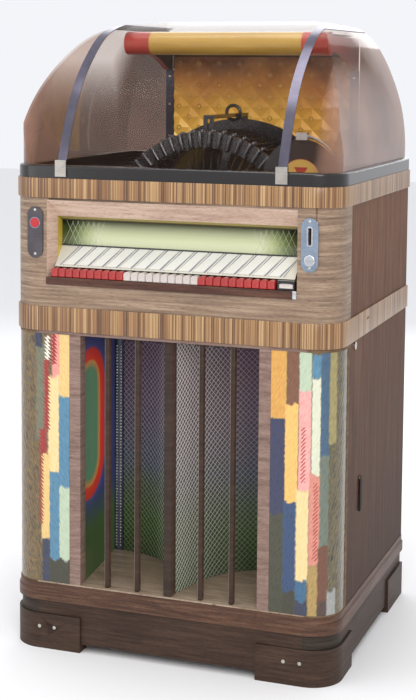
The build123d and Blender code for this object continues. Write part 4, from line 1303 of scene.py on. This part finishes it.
def way_out(line, i):
    """The direction that a sheet faces at one point of its line."""
    ahead = line[min(i + 1, len(line) - 1)] - line[max(i - 1, 0)]
    return Vector((ahead.y, -ahead.x)).normalized()


def screen_sheet(name, side, finish):
    """One thin curved sheet, cut along the sloping ceiling."""
    line, _ = smooth_line(SCREEN_LINE, SHEET_STEPS)
    points = []
    for i, spot in enumerate(line):
        out = way_out(line, i)
        top = ceiling_above(spot.y)
        for depth, z in ((0.0004, SHEET_LOW), (0.0004, top), (-0.0014, top), (-0.0014, SHEET_LOW)):
            points.append((side * (spot.x + out.x * depth), spot.y + out.y * depth, z))
    faces = ring_faces(len(line), 4)
    turn_out(build(name, points, faces, "front_door", [finish], crease=50).data)


def screen_lattice(name, side, finish):
    """Diamond strands as raised cords in front of the sheet."""
    line, total = smooth_line(SCREEN_LINE, STRAND_COLUMNS)
    step = total / STRAND_COLUMNS
    rows = int((SCREEN_HIGH - SCREEN_LOW) / step)
    points, faces = [], []
    for i in range(STRAND_COLUMNS):
        for j in range(rows):
            ends = ((i, j), (i + 1, j + 1)) if (i + j) % 2 else ((i, j + 1), (i + 1, j))
            (p, out, z0), (q, out2, z1) = ((line[a], way_out(line, a), SCREEN_LOW + b * step) for a, b in ends)
            if max(z0, z1) > ceiling_above(max(p.y, q.y)):
                continue
            base = len(points)
            for spot, away, z in ((p, out, z0), (q, out2, z1)):
                for shift, rise in ((-0.0010, 0.0003), (0.0, 0.0018), (0.0010, 0.0003)):
                    points.append((side * (spot.x + away.x * rise), spot.y + away.y * rise, z + shift))
            faces += strand(base)
    build(name, points, faces, "front_door", [finish], crease=50)


def screen_paint(name, dim, glow):
    """The screen's run of colours, in a darker painted-shade copy for the sheet between the strands and a
    lighter painted-light copy for the strands, with a painted glow.
    """
    paint = Finish(name, {"Roughness": 0.4, "Coat Weight": 0.3, "Coat Roughness": 0.15})
    x, _, z = paint.split(paint.place())
    cloud = paint.noise(paint.place(), 7.0, 3.0)
    up = (z - 0.154) * 1.786 + (cloud - 0.5) * 0.16
    stops = [(0.0, (60, 74, 46)), (0.14, (78, 96, 60)), (0.3, (90, 100, 84)), (0.42, (98, 102, 112)),
             (0.7, (112, 100, 114)), (0.95, (110, 92, 108))]
    colour = paint.ramp(up, [(p, tuple(c * dim for c in shade)) for p, shade in stops])
    near = (x.size() * -9.0 + 1.05).capped()
    pale = paint.ramp(up, [(0.0, (120 * dim, 124 * dim, 108 * dim)), (0.6, (158 * dim, 150 * dim, 146 * dim))])
    shown = paint.blend(near * 0.85, colour, pale)
    paint.feed({"Base Color": shown, "Emission Color": shown, "Roughness": cloud * 0.2 + 0.3})
    paint.shader.inputs["Emission Strength"].default_value = glow
    return paint


def wall_paint(name):
    """The bay's side walls: a green middle inside an orange line and a red ring, with navy outside."""
    paint = Finish(name, {"Roughness": 0.3, "Coat Weight": 0.4})
    _, y, z = paint.split(paint.place())
    beyond = ((z - 0.505).size() - 0.085).math("MAXIMUM", 0.0) / 0.115
    across = (y + 0.255) / 0.150
    unrest = (paint.noise(paint.place(), 12.0, 2.0) - 0.5) * 0.06
    away = (across * across + beyond * beyond).power(0.5) + unrest
    ring = paint.ramp(away, [
        (0.0, (96, 136, 104)), (0.36, (92, 138, 104)), (0.50, (204, 140, 76)), (0.54, (214, 62, 40)),
        (0.74, (196, 52, 44)), (0.79, (72, 76, 128)), (0.99, (56, 62, 108))])
    foot = ((z - 0.335) * -14.0).capped()
    shown = paint.blend(foot, ring, (66, 88, 52))
    paint.feed({"Base Color": shown, "Emission Color": shown})
    # Painted glow: the bay walls give off their own light though they are no lamp.
    paint.shader.inputs["Emission Strength"].default_value = 0.14
    return paint


# Painted light: the sheet is a shaded copy and the strands a lit copy of one paint, and both glow though they
# are no lamp.
sheet_back = screen_paint("sheet_back", 0.58, 0.36)
strand_paint = screen_paint("strand_paint", 1.12, 0.34)
copy_part("screen_sheets", "grille_screen", "front_door", [wall_paint("wall_paint"), trim_blue],
          lambda c, n: 1 if c.y > -57.2 else 0,
          keep=lambda c: abs(c.x) > 207.9 and (abs(c.x) > 220 or c.y < -80))
screen_sheet("right_sheet", 1, sheet_back)
screen_sheet("left_sheet", -1, sheet_back)
screen_lattice("right_strands", 1, strand_paint)
screen_lattice("left_strands", -1, strand_paint)


def trim_beads():
    """Two lines of bright round beads up each rear trim of the bay."""
    bead = lathe([(0.0006, -0.0020), (0.0022, -0.0012), (0.0026, 0.0), (0.0026, 0.0008)], 10, (0, 0, 0))
    lines = [side * x for side in (-1, 1) for x in (0.221, 0.231)]
    spots = [(x, -0.0575, 0.165 + i * 0.0072) for x in lines for i in range(68)]
    repeat("trim_beads", spots, bead, "front_door", screw_steel)


trim_beads()
